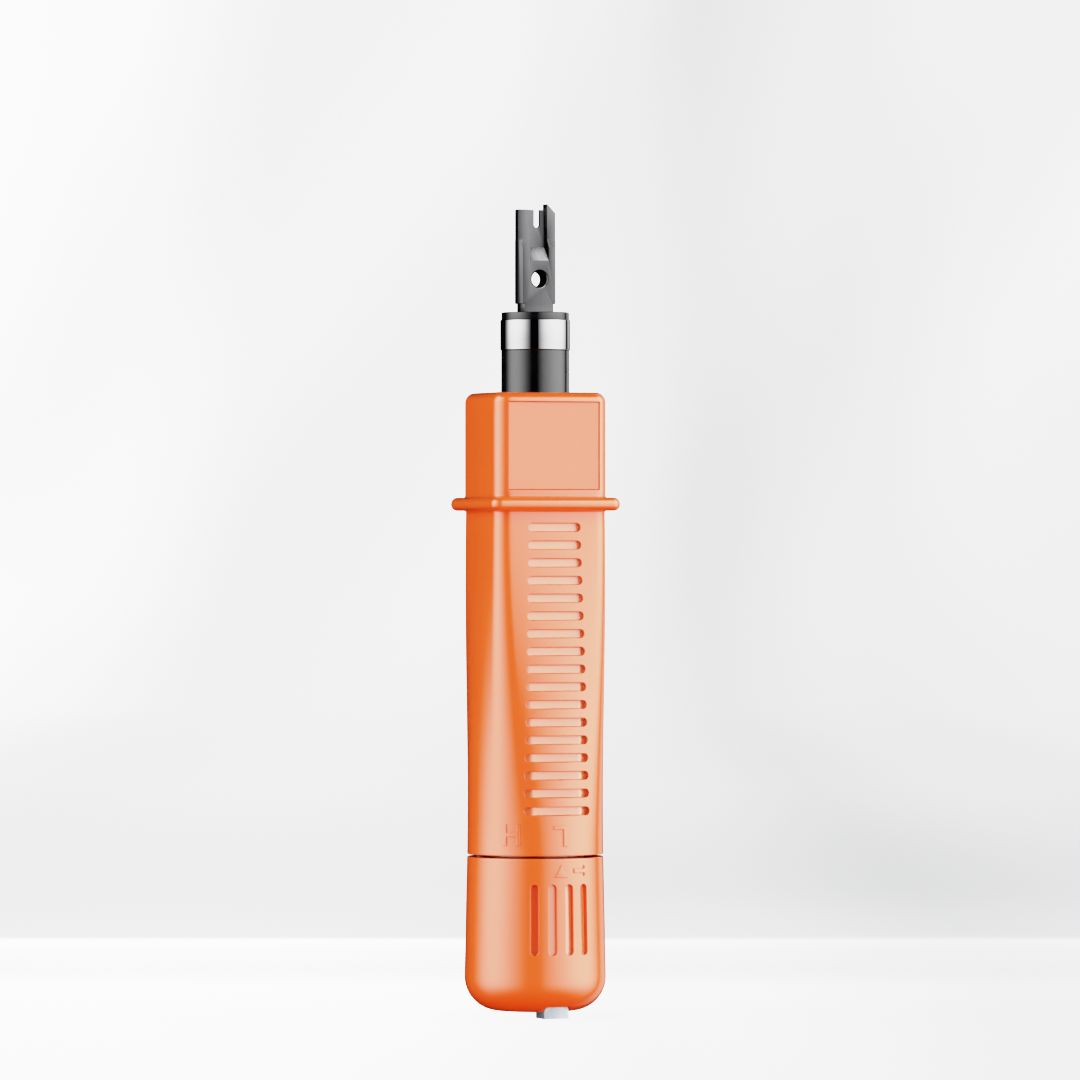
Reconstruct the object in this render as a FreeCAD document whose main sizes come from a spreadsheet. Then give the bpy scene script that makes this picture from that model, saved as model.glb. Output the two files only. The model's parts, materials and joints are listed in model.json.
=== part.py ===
import FreeCAD, Part
import math
import os

import Sketcher
from FreeCAD import Vector, Placement, Rotation

# Impact punch down tool, millimetres.
# Row frame: +Z along the tool's axis towards the blade tip, -Y is the face
# with the label recess and the grip slots, origin on the axis at the level of
# the lowest point, the end of the pull tab.

os.makedirs("parts", exist_ok=True)
doc = FreeCAD.newDocument("punch_down_tool")
sheet = doc.addObject("Spreadsheet::Sheet", "dims")
ROW = [0]


class Dim:
    """A dimension: the expression that names it and its present value."""

    def __init__(self, text, value):
        self.text, self.value = text, float(value)

    def _op(self, other, sign, swap=False):
        if not isinstance(other, Dim):
            other = Dim(repr(float(other)), other)
        a, b = (other, self) if swap else (self, other)
        value = {"+": lambda: a.value + b.value, "-": lambda: a.value - b.value,
                 "*": lambda: a.value * b.value, "/": lambda: a.value / b.value}[sign]()
        return Dim("(%s %s %s)" % (a.text, sign, b.text), value)

    def __add__(self, o): return self._op(o, "+")
    def __radd__(self, o): return self._op(o, "+", True)
    def __sub__(self, o): return self._op(o, "-")
    def __rsub__(self, o): return self._op(o, "-", True)
    def __mul__(self, o): return self._op(o, "*")
    def __rmul__(self, o): return self._op(o, "*", True)
    def __truediv__(self, o): return self._op(o, "/")


def dim(alias, value, note=""):
    ROW[0] += 1
    r = str(ROW[0])
    sheet.set("A" + r, alias)
    sheet.set("B" + r, repr(float(value)))
    sheet.set("C" + r, note)
    sheet.setAlias("B" + r, alias)
    return Dim("dims." + alias, value)


def num(x):
    return x.value if isinstance(x, Dim) else float(x)


def bind(obj, prop, x):
    if isinstance(x, Dim):
        obj.setExpression(prop, x.text)
    else:
        head, _, tail = prop.partition(".")
        if head == "Placement":
            p = obj.Placement
            setattr(p.Base, tail.split(".")[-1], float(x))
            obj.Placement = p
        else:
            setattr(obj, prop, float(x))


# ---------------------------------------------------------------- dimensions
# overall stations along the axis
dome_z = dim("dome_z", 1.75, "lowest point of the domed cap")
cap_top = dim("cap_top", 34.45, "cap's seam face")
body_bot = dim("body_bot", 34.95, "handle's seam face")
body_top = dim("body_top", 134.0, "front end of the handle")
flange_lo = dim("flange_lo", 108.7)
flange_hi = dim("flange_hi", 111.5)
seam_rad = dim("seam_rad", 14.6, "handle and cap at the seam")
cap_rad = dim("cap_rad", 15.38, "cap side carried down to the knuckle")
knuckle = dim("knuckle", 7.8)
# handle section
front_ax = dim("front_ax", 13.17, "half width ahead of the flange")
front_ay = dim("front_ay", 11.3, "half depth ahead of the flange")
rear_ax = dim("rear_ax", 13.08, "half width just behind the flange")
rear_ay = dim("rear_ay", 11.0)
belly = dim("belly", 0.4, "extra half width and depth halfway down the grip")
corner = dim("corner", 3.4)
rim = dim("rim", 2.1, "rounded front edge of the handle")
flange_ax = dim("flange_ax", 15.2)
flange_ay = dim("flange_ay", 13.4)
# bores of the handle
bore = dim("bore", 8.0, "main bore")
neck_bore = dim("neck_bore", 7.75, "bore around the plunger's collar")
bush_bore = dim("bush_bore", 8.3)
bore_step = dim("bore_step", 108.0)
bush_lo = dim("bush_lo", 125.0)
bush_hi = dim("bush_hi", 133.9)
spigot = dim("spigot", 10.6, "rear spigot that carries the cap")
spigot_lo = dim("spigot_lo", 27.0)
# label, slots
label_x = dim("label_x", 10.5)
label_lo = dim("label_lo", 113.1)
label_hi = dim("label_hi", 132.0)
label_deep = dim("label_deep", 0.3)
slot_top = dim("slot_top", 105.1)
slot_pitch = dim("slot_pitch", 3.787)
slot_half = dim("slot_half", 0.89, "half height of a grip slot")
slot_wide = dim("slot_wide", 5.95, "half width of the first slot")
slot_grow = dim("slot_grow", 0.097, "added half width per slot")
slot_deep = dim("slot_deep", 1.15)
mark_high = dim("mark_high", 0.3, "raised marks stand this proud")
# nose
sleeve_rad = dim("sleeve_rad", 7.3)
collar_rad = dim("collar_rad", 7.65)
collar_lo = dim("collar_lo", 121.5)
collar_hi = dim("collar_hi", 124.95)
ring_lo = dim("ring_lo", 143.2)
ring_hi = dim("ring_hi", 149.7)
ring_rad = dim("ring_rad", 7.5)
ring_seat = dim("ring_seat", 6.5)
lip_hi = dim("lip_hi", 151.3)
core_rad = dim("core_rad", 5.2, "spindle")
core_lo = dim("core_lo", 112.0)
core_hi = dim("core_hi", 150.6)
stem_rad = dim("stem_rad", 2.0)
stem_lo = dim("stem_lo", 98.05)
shank_rad = dim("shank_rad", 3.6)
shank_lo = dim("shank_lo", 131.0)
neck_rad = dim("neck_rad", 3.87)
neck_lo = dim("neck_lo", 149.0)
shoulder = dim("shoulder", 153.2)
bar_rad = dim("bar_rad", 4.34)
flat_y = dim("flat_y", 2.26)
hole_rad = dim("hole_rad", 1.75)
hole_z = dim("hole_z", 158.45)
run = dim("run", 0.06, "radial running clearance")
# striker
hammer_rad = dim("hammer_rad", 5.2)
hammer_lo = dim("hammer_lo", 72.0)
hammer_hi = dim("hammer_hi", 104.0)
hammer_flange = dim("hammer_flange", 6.4)
flange_top = dim("flange_top", 75.9)
slug_lo = dim("slug_lo", 92.0)
slug_hi = dim("slug_hi", 98.0)
slug_shift = dim("slug_shift", 1.6)
cam_lo = dim("cam_lo", 76.0)
cam_hi = dim("cam_hi", 106.6)
tube_lo = dim("tube_lo", 38.0)
tube_in = dim("tube_in", 6.65)
seat_lo = dim("seat_lo", 41.0)
seat_hi = dim("seat_hi", 44.0)
seat_lift = dim("seat_lift", 2.0)
# cap core
core_out = dim("core_out", 12.6)
core_floor = dim("core_floor", 4.4)
core_top = dim("core_top", 33.9)
deck_lo = dim("deck_lo", 19.0)
deck_hi = dim("deck_hi", 22.0)
detent_rad = dim("detent_rad", 9.25)
tab_w = dim("tab_w", 5.6)
tab_x = dim("tab_x", -2.0)
tab_front = dim("tab_front", 10.2)
tab_d = dim("tab_d", 4.8)
tab_h = dim("tab_h", 10.0)

doc.recompute()
NODES = []


# ------------------------------------------------------------------- helpers
def node(obj, label):
    obj.Label = label
    NODES.append((label, obj))
    return obj


def cyl(name, rad, z0, z1, x=0.0, y=0.0):
    o = doc.addObject("Part::Cylinder", name)
    bind(o, "Radius", rad)
    bind(o, "Height", (z1 - z0) if isinstance(z1, Dim) or isinstance(z0, Dim) else z1 - z0)
    bind(o, "Placement.Base.z", z0)
    if num(x) or isinstance(x, Dim):
        bind(o, "Placement.Base.x", x)
    if num(y) or isinstance(y, Dim):
        bind(o, "Placement.Base.y", y)
    return o


def lying(name, rad, length, place, axis):
    """A cylinder along a direction other than Z."""
    o = doc.addObject("Part::Cylinder", name)
    bind(o, "Radius", rad)
    bind(o, "Height", length)
    o.Placement = Placement(Vector(*[num(c) for c in place]), Rotation(Vector(0, 0, 1), Vector(*axis)))
    return o


def box(name, x0, x1, y0, y1, z0, z1):
    o = doc.addObject("Part::Box", name)
    for prop, a, b in (("Length", x0, x1), ("Width", y0, y1), ("Height", z0, z1)):
        bind(o, prop, b - a)
    for axis, a in (("x", x0), ("y", y0), ("z", z0)):
        bind(o, "Placement.Base." + axis, a)
    return o


def fuse(name, *objs):
    o = doc.addObject("Part::MultiFuse", name)
    o.Shapes = list(objs)
    o.Refine = True
    return o


def cut(name, base, *tools):
    o = doc.addObject("Part::Cut", name)
    o.Base = base
    o.Tool = tools[0] if len(tools) == 1 else fuse(name + "_tools", *tools)
    return o


def common(name, a, b):
    o = doc.addObject("Part::MultiCommon", name)
    o.Shapes = [a, b]
    return o


def feature(name, shape):
    o = doc.addObject("Part::Feature", name)
    o.Shape = shape
    return o


def turned(name, pts):
    """Body of revolution about Z from a closed profile of (radius, height)."""
    body = doc.addObject("PartDesign::Body", name)
    sk = body.newObject("Sketcher::SketchObject", name + "_profile")
    plane = [f for f in body.Origin.OriginFeatures if f.Role == "XZ_Plane"][0]
    sk.AttachmentSupport = (plane, [""])
    sk.MapMode = "FlatFace"
    n = len(pts)
    xy = [Vector(num(r), num(z), 0) for r, z in pts]
    for i in range(n):
        sk.addGeometry(Part.LineSegment(xy[i], xy[(i + 1) % n]), False)
    for i in range(n):
        sk.addConstraint(Sketcher.Constraint("Coincident", i, 2, (i + 1) % n, 1))
    for i, (r, z) in enumerate(pts):
        if num(r) == 0:
            sk.addConstraint(Sketcher.Constraint("PointOnObject", i, 1, -2))
        else:
            c = sk.addConstraint(Sketcher.Constraint("DistanceX", -1, 1, i, 1, num(r)))
            if isinstance(r, Dim):
                sk.setExpression("Constraints[%d]" % c, r.text)
        c = sk.addConstraint(Sketcher.Constraint("DistanceY", -1, 1, i, 1, num(z)))
        if isinstance(z, Dim):
            sk.setExpression("Constraints[%d]" % c, z.text)
    rev = body.newObject("PartDesign::Revolution", name + "_turn")
    rev.Profile = sk
    rev.ReferenceAxis = (sk, ["V_Axis"])
    rev.Angle = 360.0
    body.Tip = rev
    return body


def coil(name, rad, wire, z0, z1, turns):
    """Helical compression spring between two stations, wire ends inside them."""
    hx = doc.addObject("Part::Helix", name + "_line")
    height = (z1 - z0) - 2 * num(wire) if isinstance(z1, Dim) or isinstance(z0, Dim) else z1 - z0 - 2 * num(wire)
    bind(hx, "Radius", rad)
    bind(hx, "Height", height)
    bind(hx, "Pitch", height / turns)
    bind(hx, "Placement.Base.z", z0 + num(wire))
    circ = doc.addObject("Part::Circle", name + "_wire")
    bind(circ, "Radius", wire)
    circ.Placement = Placement(Vector(num(rad), 0, num(z0) + num(wire)), Rotation(Vector(1, 0, 0), 90))
    doc.recompute()
    sw = doc.addObject("Part::Sweep", name + "_sweep")
    sw.Sections = [circ]
    sw.Spine = (hx, ["Edge%d" % (i + 1) for i in range(len(hx.Shape.Edges))])
    sw.Solid = True
    sw.Frenet = True
    return sw


def oval(ax, ay, rc, th1, th2, z, inset=0.0):
    """Four-sided section of eight tangent arcs: crowned sides and round corners."""
    s1, c1, s2, c2 = math.sin(th1), math.cos(th1), math.sin(th2), math.cos(th2)
    # rf*s1 + rc*(s2-s1) + rs*(1-s2) = ax ; rf*(1-c1) + rc*(c1-c2) + rs*c2 = ay
    a11, a12, b1 = s1, 1 - s2, ax - rc * (s2 - s1)
    a21, a22, b2 = 1 - c1, c2, ay - rc * (c1 - c2)
    det = a11 * a22 - a12 * a21
    rf, rs = (b1 * a22 - a12 * b2) / det, (a11 * b2 - a21 * b1) / det
    fy, sx = rf - ay, ax - rs               # centres of the front and right arcs
    kx, ky = (rf - rc) * s1, fy - (rf - rc) * c1   # centre of the right front corner
    rf, rs, rc = rf - inset, rs - inset, rc - inset

    def q(cx, cy, r, a):
        return Vector(cx + r * math.sin(a), cy - r * math.cos(a), z)

    f0, f1, fm = q(0, fy, rf, -th1), q(0, fy, rf, th1), q(0, fy, rf, 0)
    k1, km = q(kx, ky, rc, th2), q(kx, ky, rc, (th1 + th2) / 2)
    sm = Vector(sx + rs, 0, z)

    def mx(v): return Vector(-v.x, v.y, v.z)
    def my(v): return Vector(v.x, -v.y, v.z)
    arcs = [(f0, fm, f1), (f1, km, k1), (k1, sm, my(k1)), (my(k1), my(km), my(f1)),
            (my(f1), my(fm), my(f0)), (my(f0), mx(my(km)), mx(my(k1))),
            (mx(my(k1)), mx(sm), mx(k1)), (mx(k1), mx(km), f0)]
    return Part.Wire([Part.Arc(*a).toShape() for a in arcs])


def grip_section(t, z, inset=0.0):
    """Handle section behind the flange: t runs from 0 at the flange to 1 at the seam."""
    ax = sheet.rear_ax + (sheet.seam_rad - sheet.rear_ax) * t ** 1.4 + sheet.belly * math.sin(math.pi * t)
    ay = sheet.rear_ay + (sheet.seam_rad - sheet.rear_ay) * t ** 1.4 + sheet.belly * math.sin(math.pi * t)
    rc = sheet.corner + (sheet.seam_rad - sheet.corner) * t ** 2.0
    th1 = math.radians(3.5 + 31.5 * t ** 1.3)
    th2 = math.radians(86.5 - 31.5 * t ** 1.3)
    return oval(ax, ay, rc, th1, th2, z, inset)


# -------------------------------------------------------------- handle shell
def grip_loft(inset, z_lo, z_hi, n):
    span = sheet.flange_lo + 0.6 - sheet.body_bot
    wires = []
    for i in range(n + 1):
        z = z_lo + (z_hi - z_lo) * i / n
        t = min(1.0, max(0.0, 1 - (z - sheet.body_bot) / span))
        wires.append(grip_section(t, z, inset))
    return Part.makeLoft(wires, True, False)


grip = feature("grip_form", grip_loft(0.0, sheet.body_bot, sheet.flange_lo + 0.6, 10))
grip_in = feature("slot_floor_form", grip_loft(sheet.slot_deep, sheet.body_bot - 1, sheet.flange_lo, 10))

th = math.radians(3.5)
head_wire = oval(sheet.front_ax, sheet.front_ay, sheet.corner, th, math.pi / 2 - th, sheet.flange_lo + 0.5)
head_raw = Part.Face(head_wire).extrude(Vector(0, 0, sheet.body_top - sheet.flange_lo - 0.5))
top_edges = [e for e in head_raw.Edges
             if abs(e.BoundBox.ZMin - sheet.body_top) < 1e-4 and abs(e.BoundBox.ZMax - sheet.body_top) < 1e-4]
head = feature("front_form", head_raw.makeFillet(sheet.rim, top_edges))

fl_wire = oval(sheet.flange_ax, sheet.flange_ay, 2.4, th, math.pi / 2 - th, sheet.flange_lo)
fl_raw = Part.Face(fl_wire).extrude(Vector(0, 0, sheet.flange_hi - sheet.flange_lo))
fl_edges = [e for e in fl_raw.Edges if abs(e.BoundBox.ZMin - e.BoundBox.ZMax) < 1e-4]
flange = feature("flange_form", fl_raw.makeFillet(1.36, fl_edges))

spigot_cyl = cyl("spigot_cyl", spigot, spigot_lo, body_bot + 1.0)
shell = fuse("handle_outer", grip, head, flange, spigot_cyl)

# label recess, flat floored
label_cut = box("label_recess", -1 * label_x, label_x, -1 * (front_ay + 2.0), -1 * (front_ay - label_deep), label_lo, label_hi)

# seventeen grip slots with round ends and a floor that follows the surface
slots = []
for i in range(17):
    z = slot_top - i * slot_pitch
    half = slot_wide + i * slot_grow
    bar = box("slot_bar_%d" % i, -1 * (half - slot_half), half - slot_half, -20.0, -5.0, z - slot_half, z + slot_half)
    slots.append(bar)
    for s in (-1, 1):
        o = doc.addObject("Part::Cylinder", "slot_end_%d_%s" % (i, "l" if s < 0 else "r"))
        bind(o, "Radius", slot_half)
        o.Height = 15.0
        o.Placement = Placement(Vector(s * (half - slot_half).value, -5.0, z.value), Rotation(Vector(1, 0, 0), 90))
        slots.append(o)
slot_prisms = fuse("slot_prisms", *slots)
slot_cut = cut("slot_cutter", slot_prisms, grip_in)

# raised marks: H at the left of the face, L at its middle, both readable with
# the blade pointing down
marks = []


def mark_bars(name, angle, bars):
    """Bars of a mark on the seam cylinder, trimmed later to a thin raised layer."""
    out = []
    for i, (u0, u1, z0, z1) in enumerate(bars):
        o = doc.addObject("Part::Box", "%s_%d" % (name, i))
        o.Length, o.Width, o.Height = u1 - u0, 8.0, z1 - z0
        rot = Rotation(Vector(0, 0, 1), angle)
        o.Placement = Placement(rot.multVec(Vector(u0, -18.0, 0)) + Vector(0, 0, z0), rot)
        out.append(o)
    return out


marks += mark_bars("mark_l", 0.0, [(0.65, 1.5, 37.05, 41.4), (-1.5, 0.65, 40.65, 41.4)])
marks += mark_bars("mark_h", -42.4, [(-1.85, -1.05, 37.2, 41.8), (1.05, 1.85, 37.2, 41.8), (-1.05, 1.05, 39.1, 39.9)])
mark_bars_all = fuse("mark_bars", *marks)
mark_layer = feature("mark_layer_form", grip_loft(-sheet.mark_high, 36.0, 44.0, 4))
mark_solid = common("mark_solid", mark_bars_all, mark_layer)
# the marks keep only the layer near the surface: the core is fused with the grip
shell_marked = fuse("handle_marked", shell, mark_solid)

bores = [cyl("bore_main", bore, spigot_lo - 1.0, bore_step),
         cyl("bore_neck", neck_bore, bore_step - 1.0, bush_lo + 1.0),
         cyl("bore_bush", bush_bore, bush_lo, bush_hi),
         cyl("bore_mouth", sleeve_rad + 0.35, bush_hi - 1.0, body_top + 1.0),
         cyl("ring_groove_a", bore + 0.6, 36.4, tube_lo)]
detent_hole = cyl("detent_hole", 1.0, 26.0, 33.0, 0.0, detent_rad)
stop_hole = cyl("stop_hole", 0.75, 26.0, 31.5, -1 * detent_rad, 0.0)
snap_groove = cut("snap_groove_form", cyl("snap_groove_o", 12.0, 29.4, 30.6), cyl("snap_groove_i", spigot - 0.33, 29.0, 31.0))
handle = cut("handle_solid", shell_marked, label_cut, slot_cut, detent_hole, stop_hole, snap_groove, *bores)
node(handle, "handle_body")

# ---------------------------------------------------------- fixed inner parts
bush = turned("bushing", [(sleeve_rad + run, bush_lo), (bush_bore, bush_lo), (bush_bore, bush_hi),
                          (sleeve_rad + run, bush_hi)])
node(bush, "front_bushing")

cam_in = hammer_rad + run
cam_sleeve = turned("cam_tube", [(cam_in, cam_lo), (bore, cam_lo), (bore, cam_hi), (7.0, cam_hi),
                                 (7.0, 92.75), (cam_in, 83.15)])
node(cam_sleeve, "trip_cam_sleeve")

washer = turned("washer_ring", [(core_rad + 0.3, cam_hi), (bore, cam_hi), (bore, bore_step), (core_rad + 0.3, bore_step)])
node(washer, "return_spring_washer")

liner = turned("liner_tube", [(tube_in, tube_lo), (bore, tube_lo), (bore, cam_lo), (tube_in, cam_lo)])
liner_slots = [box("liner_slot_x", -9.0, 9.0, -1.55, 1.55, tube_lo - 1.0, 48.0)]
node(cut("liner", liner, *liner_slots), "spring_tube")

snap = cyl("tube_snap_o", bore + 0.6, 36.4, tube_lo)
snap_in = cyl("tube_snap_i", 7.35, 36.0, tube_lo + 0.5)
snap_gap = box("tube_snap_gap", -1.6, 1.6, 4.0, 10.0, 36.0, tube_lo + 0.5)
node(cut("tube_snap", snap, snap_in, snap_gap), "tube_retaining_ring")

# ----------------------------------------------------------------- plunger
sleeve = turned("sleeve_turn", [(core_rad, collar_lo), (collar_rad, collar_lo), (collar_rad, collar_hi),
                                (sleeve_rad, collar_hi), (sleeve_rad, ring_lo), (ring_seat, ring_lo),
                                (ring_seat, ring_hi), (core_rad, ring_hi)])
pin_hole = lying("pin_hole", 1.0, 20.0, (-10.0, 0.0, 123.2), (1, 0, 0))
node(cut("sleeve_solid", sleeve, pin_hole), "nose_sleeve")
ring = turned("ring_turn", [(ring_seat, ring_lo), (ring_rad - 0.15, ring_lo), (ring_rad, ring_lo + 0.15),
                            (ring_rad, ring_hi - 0.15), (ring_rad - 0.15, ring_hi), (ring_seat, ring_hi)])
node(ring, "nose_ring")
lip_in = neck_rad + 0.2
lip = turned("lip_turn", [(core_rad, ring_hi), (sleeve_rad - 0.05, ring_hi), (sleeve_rad - 0.05, lip_hi - 0.25),
                          (sleeve_rad - 0.3, lip_hi), (lip_in + 0.3, lip_hi), (lip_in, lip_hi - 0.3),
                          (lip_in, core_hi), (core_rad, core_hi)])
node(lip, "nose_lip")
spindle = turned("spindle_turn", [(0, stem_lo), (stem_rad - 0.3, stem_lo), (stem_rad, stem_lo + 0.3), (stem_rad, core_lo),
                                  (core_rad - 0.4, core_lo), (core_rad, core_lo + 0.4), (core_rad, core_hi),
                                  (neck_rad + run, core_hi), (neck_rad + run, neck_lo - 0.1),
                                  (shank_rad + run, neck_lo - 0.1), (shank_rad + run, shank_lo - 0.4), (0, shank_lo - 0.4)])
pin_hole2 = lying("pin_hole2", 1.0, 20.0, (-10.0, 0.0, 123.2), (1, 0, 0))
ball_hole = lying("ball_hole", 1.0, 6.0, (0.0, 0.0, 140.0), (0, -1, 0))
clip_groove = cut("clip_groove_form", cyl("clip_groove_o", 6.0, 139.3, 140.7), cyl("clip_groove_i", 4.75, 139.0, 141.0))
node(cut("spindle", spindle, pin_hole2, ball_hole, clip_groove), "blade_socket")
pin = lying("cross_pin_solid", 1.0, 15.0, (-7.5, 0.0, 123.2), (1, 0, 0))
node(pin, "socket_pin")
ball = doc.addObject("Part::Sphere", "detent_ball_solid")
ball.Radius = 0.95
ball.Placement = Placement(Vector(0, -3.78, 140.0), Rotation())
node(ball, "blade_detent_ball")
clip_o = cyl("clip_o", core_rad, 139.35, 140.65)
clip_i = cyl("clip_i", 4.75, 139.0, 141.0)
clip_gap = box("clip_gap", -1.5, 1.5, 3.0, 7.0, 139.0, 141.0)
node(cut("clip", clip_o, clip_i, clip_gap), "blade_detent_clip")

# ------------------------------------------------------------------- blade
shank = turned("shank_turn", [(0, shank_lo), (shank_rad - 0.4, shank_lo), (shank_rad, shank_lo + 0.4),
                              (shank_rad, 138.9), (2.75, 138.9), (2.75, 141.1), (shank_rad, 141.1),
                              (shank_rad, neck_lo), (neck_rad, neck_lo), (neck_rad, neck_lo + 1.5), (0, neck_lo + 1.5)])
neck = cyl("neck_round", neck_rad, neck_lo + 1.5, shoulder)
bar = cyl("bar_round", bar_rad, shoulder, 174.6)
slab = box("bar_slab", -6.0, 6.0, -1 * flat_y, flat_y, neck_lo + 1.5, 176.0)
flat_bar = common("flat_bar", fuse("blade_rounds", neck, bar), slab)


def wedge(name, pts, x0, x1):
    """Prism along X from a closed (y, z) outline."""
    w = Part.makePolygon([Vector(x0, y, z) for y, z in pts] + [Vector(x0, pts[0][0], pts[0][1])])
    return feature(name, Part.Face(w).extrude(Vector(x1 - x0, 0, 0)))


fy = sheet.flat_y
tip = 1.12
front_thin = wedge("front_thin", [(-fy - 1, 165.25), (-fy, 165.25), (-tip, 167.15), (-tip, 177), (-fy - 1, 177)], -6, 6)
back_thin = wedge("back_thin", [(fy + 1, 165.25), (fy, 165.25), (tip, 167.15), (tip, 177), (fy + 1, 177)], -6, 6)
channel = wedge("channel", [(-fy - 1, 162.4), (-fy, 162.4), (0.5, 165.35), (0.5, 177), (-fy - 1, 177)], -2.1, 2.24)
notch_box = box("notch_box", -0.12, 1.22, -3.0, 3.0, 170.25, 176.0)
notch_end = lying("notch_end", 0.67, 6.0, (0.55, -3.0, 170.25), (0, 1, 0))
prong_top = box("prong_top", -6.0, 2.24, -4.0, 4.0, 173.4, 176.0)
w = Part.makePolygon([Vector(2.35, -4, 174.6), Vector(4.6, -4, 172.35), Vector(6, -4, 172.35), Vector(6, -4, 177),
                      Vector(2.35, -4, 177), Vector(2.35, -4, 174.6)])
bevel = feature("cutter_bevel", Part.Face(w).extrude(Vector(0, 8, 0)))
# the cutter is ground to an edge on its outer side
eye = lying("eye", hole_rad, 8.0, (0.1, -4.0, hole_z), (0, 1, 0))
eye_f = doc.addObject("Part::Cone", "eye_front")
eye_f.Radius1, eye_f.Radius2, eye_f.Height = 2.05, 1.75, 0.3
eye_f.Placement = Placement(Vector(0.1, -sheet.flat_y, 158.45), Rotation(Vector(0, 0, 1), Vector(0, 1, 0)))
eye_b = doc.addObject("Part::Cone", "eye_back")
eye_b.Radius1, eye_b.Radius2, eye_b.Height = 2.05, 1.75, 0.3
eye_b.Placement = Placement(Vector(0.1, sheet.flat_y, 158.45), Rotation(Vector(0, 0, 1), Vector(0, -1, 0)))
lug_flat_a = box("lug_flat_a", -5.0, 5.0, 2.6, 5.0, shank_lo - 1.0, 136.0)
lug_flat_b = box("lug_flat_b", -5.0, 5.0, -5.0, -2.6, shank_lo - 1.0, 136.0)
blade_form = fuse("blade_form", flat_bar, shank)
blade = cut("blade_solid", blade_form, front_thin, back_thin, channel, notch_box, notch_end, prong_top, bevel,
            eye, eye_f, eye_b, lug_flat_a, lug_flat_b)
node(blade, "punch_blade")

# --------------------------------------------------------- hammer and slug
hammer_t = turned("hammer_turn", [(0, hammer_lo - 6.0), (4.0, hammer_lo - 6.0), (4.0, hammer_lo), (hammer_flange, hammer_lo),
                                  (hammer_flange, flange_top), (hammer_rad, flange_top), (hammer_rad, hammer_hi - 0.4),
                                  (hammer_rad - 0.4, hammer_hi), (0, hammer_hi)])
h_bore = cyl("hammer_bore", stem_rad + 0.3, 84.0, hammer_hi + 1.0)
h_slot = box("hammer_slot", -4.4, 8.0, -2.65, 2.65, slug_lo - 0.03, slug_hi + 0.03)
hammer = cut("hammer_solid", hammer_t, h_bore, h_slot)
node(hammer, "hammer")
# slug: rests 1.6 mm towards +X, its own bore then misses the stem
slug_a = box("slug_block", -2.2, 5.2 + slug_shift, -2.6, 2.6, slug_lo, slug_hi)
slug_r = cyl("slug_round", hammer_rad - 0.05, slug_lo - 1.0, slug_hi + 1.0, slug_shift, 0.0)
slug_c = common("slug_form", slug_a, slug_r)
slug_bore = cyl("slug_bore", stem_rad + 0.3, slug_lo - 1.0, slug_hi + 1.0, slug_shift, 0.0)
node(cut("slug_solid", slug_c, slug_bore), "trip_slug")

# springs
node(coil("main_coil", 5.25, 0.9, seat_hi, hammer_lo, 7.0), "main_spring")
node(coil("return_coil", 6.25, 0.45, bore_step, collar_lo, 4.0), "return_spring")

# bent leaf behind the slug, in the hammer's slot
leaf_pts = [(-4.38, 92.9), (-4.38, 93.3), (-2.52, 95.0), (-4.38, 96.7), (-4.38, 97.1), (-2.24, 95.15), (-2.24, 94.85)]
leaf_wire = Part.makePolygon([Vector(u, -2.3, z) for u, z in leaf_pts] + [Vector(leaf_pts[0][0], -2.3, leaf_pts[0][1])])
node(feature("slug_leaf", Part.Face(leaf_wire).extrude(Vector(0, 4.6, 0))), "slug_spring")

# ------------------------------------------------------------ dial mechanism
seat_disc = turned("seat_turn", [(4.9, 33.2), (6.35, 33.2), (6.35, seat_hi), (2.0, seat_hi), (2.0, seat_lo), (4.9, seat_lo)])
ear = box("seat_ears", -7.6, 7.6, -1.45, 1.45, seat_lo, seat_hi)
ear_bore = cyl("seat_ear_bore", 2.0, seat_lo - 1.0, seat_hi + 1.0)


def ramp(name, angle, r0, r1, half_deg, z_base, z_mid, slope):
    """Ring sector whose top rises along the arc, centred on an angle."""
    out = Part.makeCylinder(r1, 12, Vector(0, 0, z_base)).cut(Part.makeCylinder(r0, 12, Vector(0, 0, z_base)))
    rm = (r0 + r1) / 2
    hw = rm * math.sin(math.radians(half_deg))
    prof = Part.makePolygon([Vector(0, -hw, z_base), Vector(0, hw, z_base), Vector(0, hw, z_mid + slope * hw),
                             Vector(0, -hw, z_mid - slope * hw), Vector(0, -hw, z_base)])
    prism = Part.Face(prof).extrude(Vector(r1 + 1, 0, 0))
    s = out.common(prism)
    s.rotate(Vector(0, 0, 0), Vector(0, 0, 1), angle)
    return feature(name, s)


slope = 2.0 / (5.6 * math.radians(40.0))
# follower lugs hang from the seat's skirt, their lower faces cut to the ramp's slope
lug_list = []
for k, ang in enumerate((90.0, 270.0)):
    ringsec = Part.makeCylinder(6.35, 4.0, Vector(0, 0, 29.4)).cut(Part.makeCylinder(4.9, 4.0, Vector(0, 0, 29.4)))
    prof = Part.makePolygon([Vector(0, -1.1, 30.3 - slope * 1.1), Vector(0, 1.1, 30.3 + slope * 1.1), Vector(0, 1.1, 33.4),
                             Vector(0, -1.1, 33.4), Vector(0, -1.1, 30.3 - slope * 1.1)])
    sec = ringsec.common(Part.Face(prof).extrude(Vector(8, 0, 0)))
    sec.rotate(Vector(0, 0, 0), Vector(0, 0, 1), ang)
    lug_list.append(feature("follower_%d" % k, sec))
seat_form = fuse("seat_form", seat_disc, ear, *lug_list)
node(cut("seat_solid", seat_form, ear_bore), "spring_seat")

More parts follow.
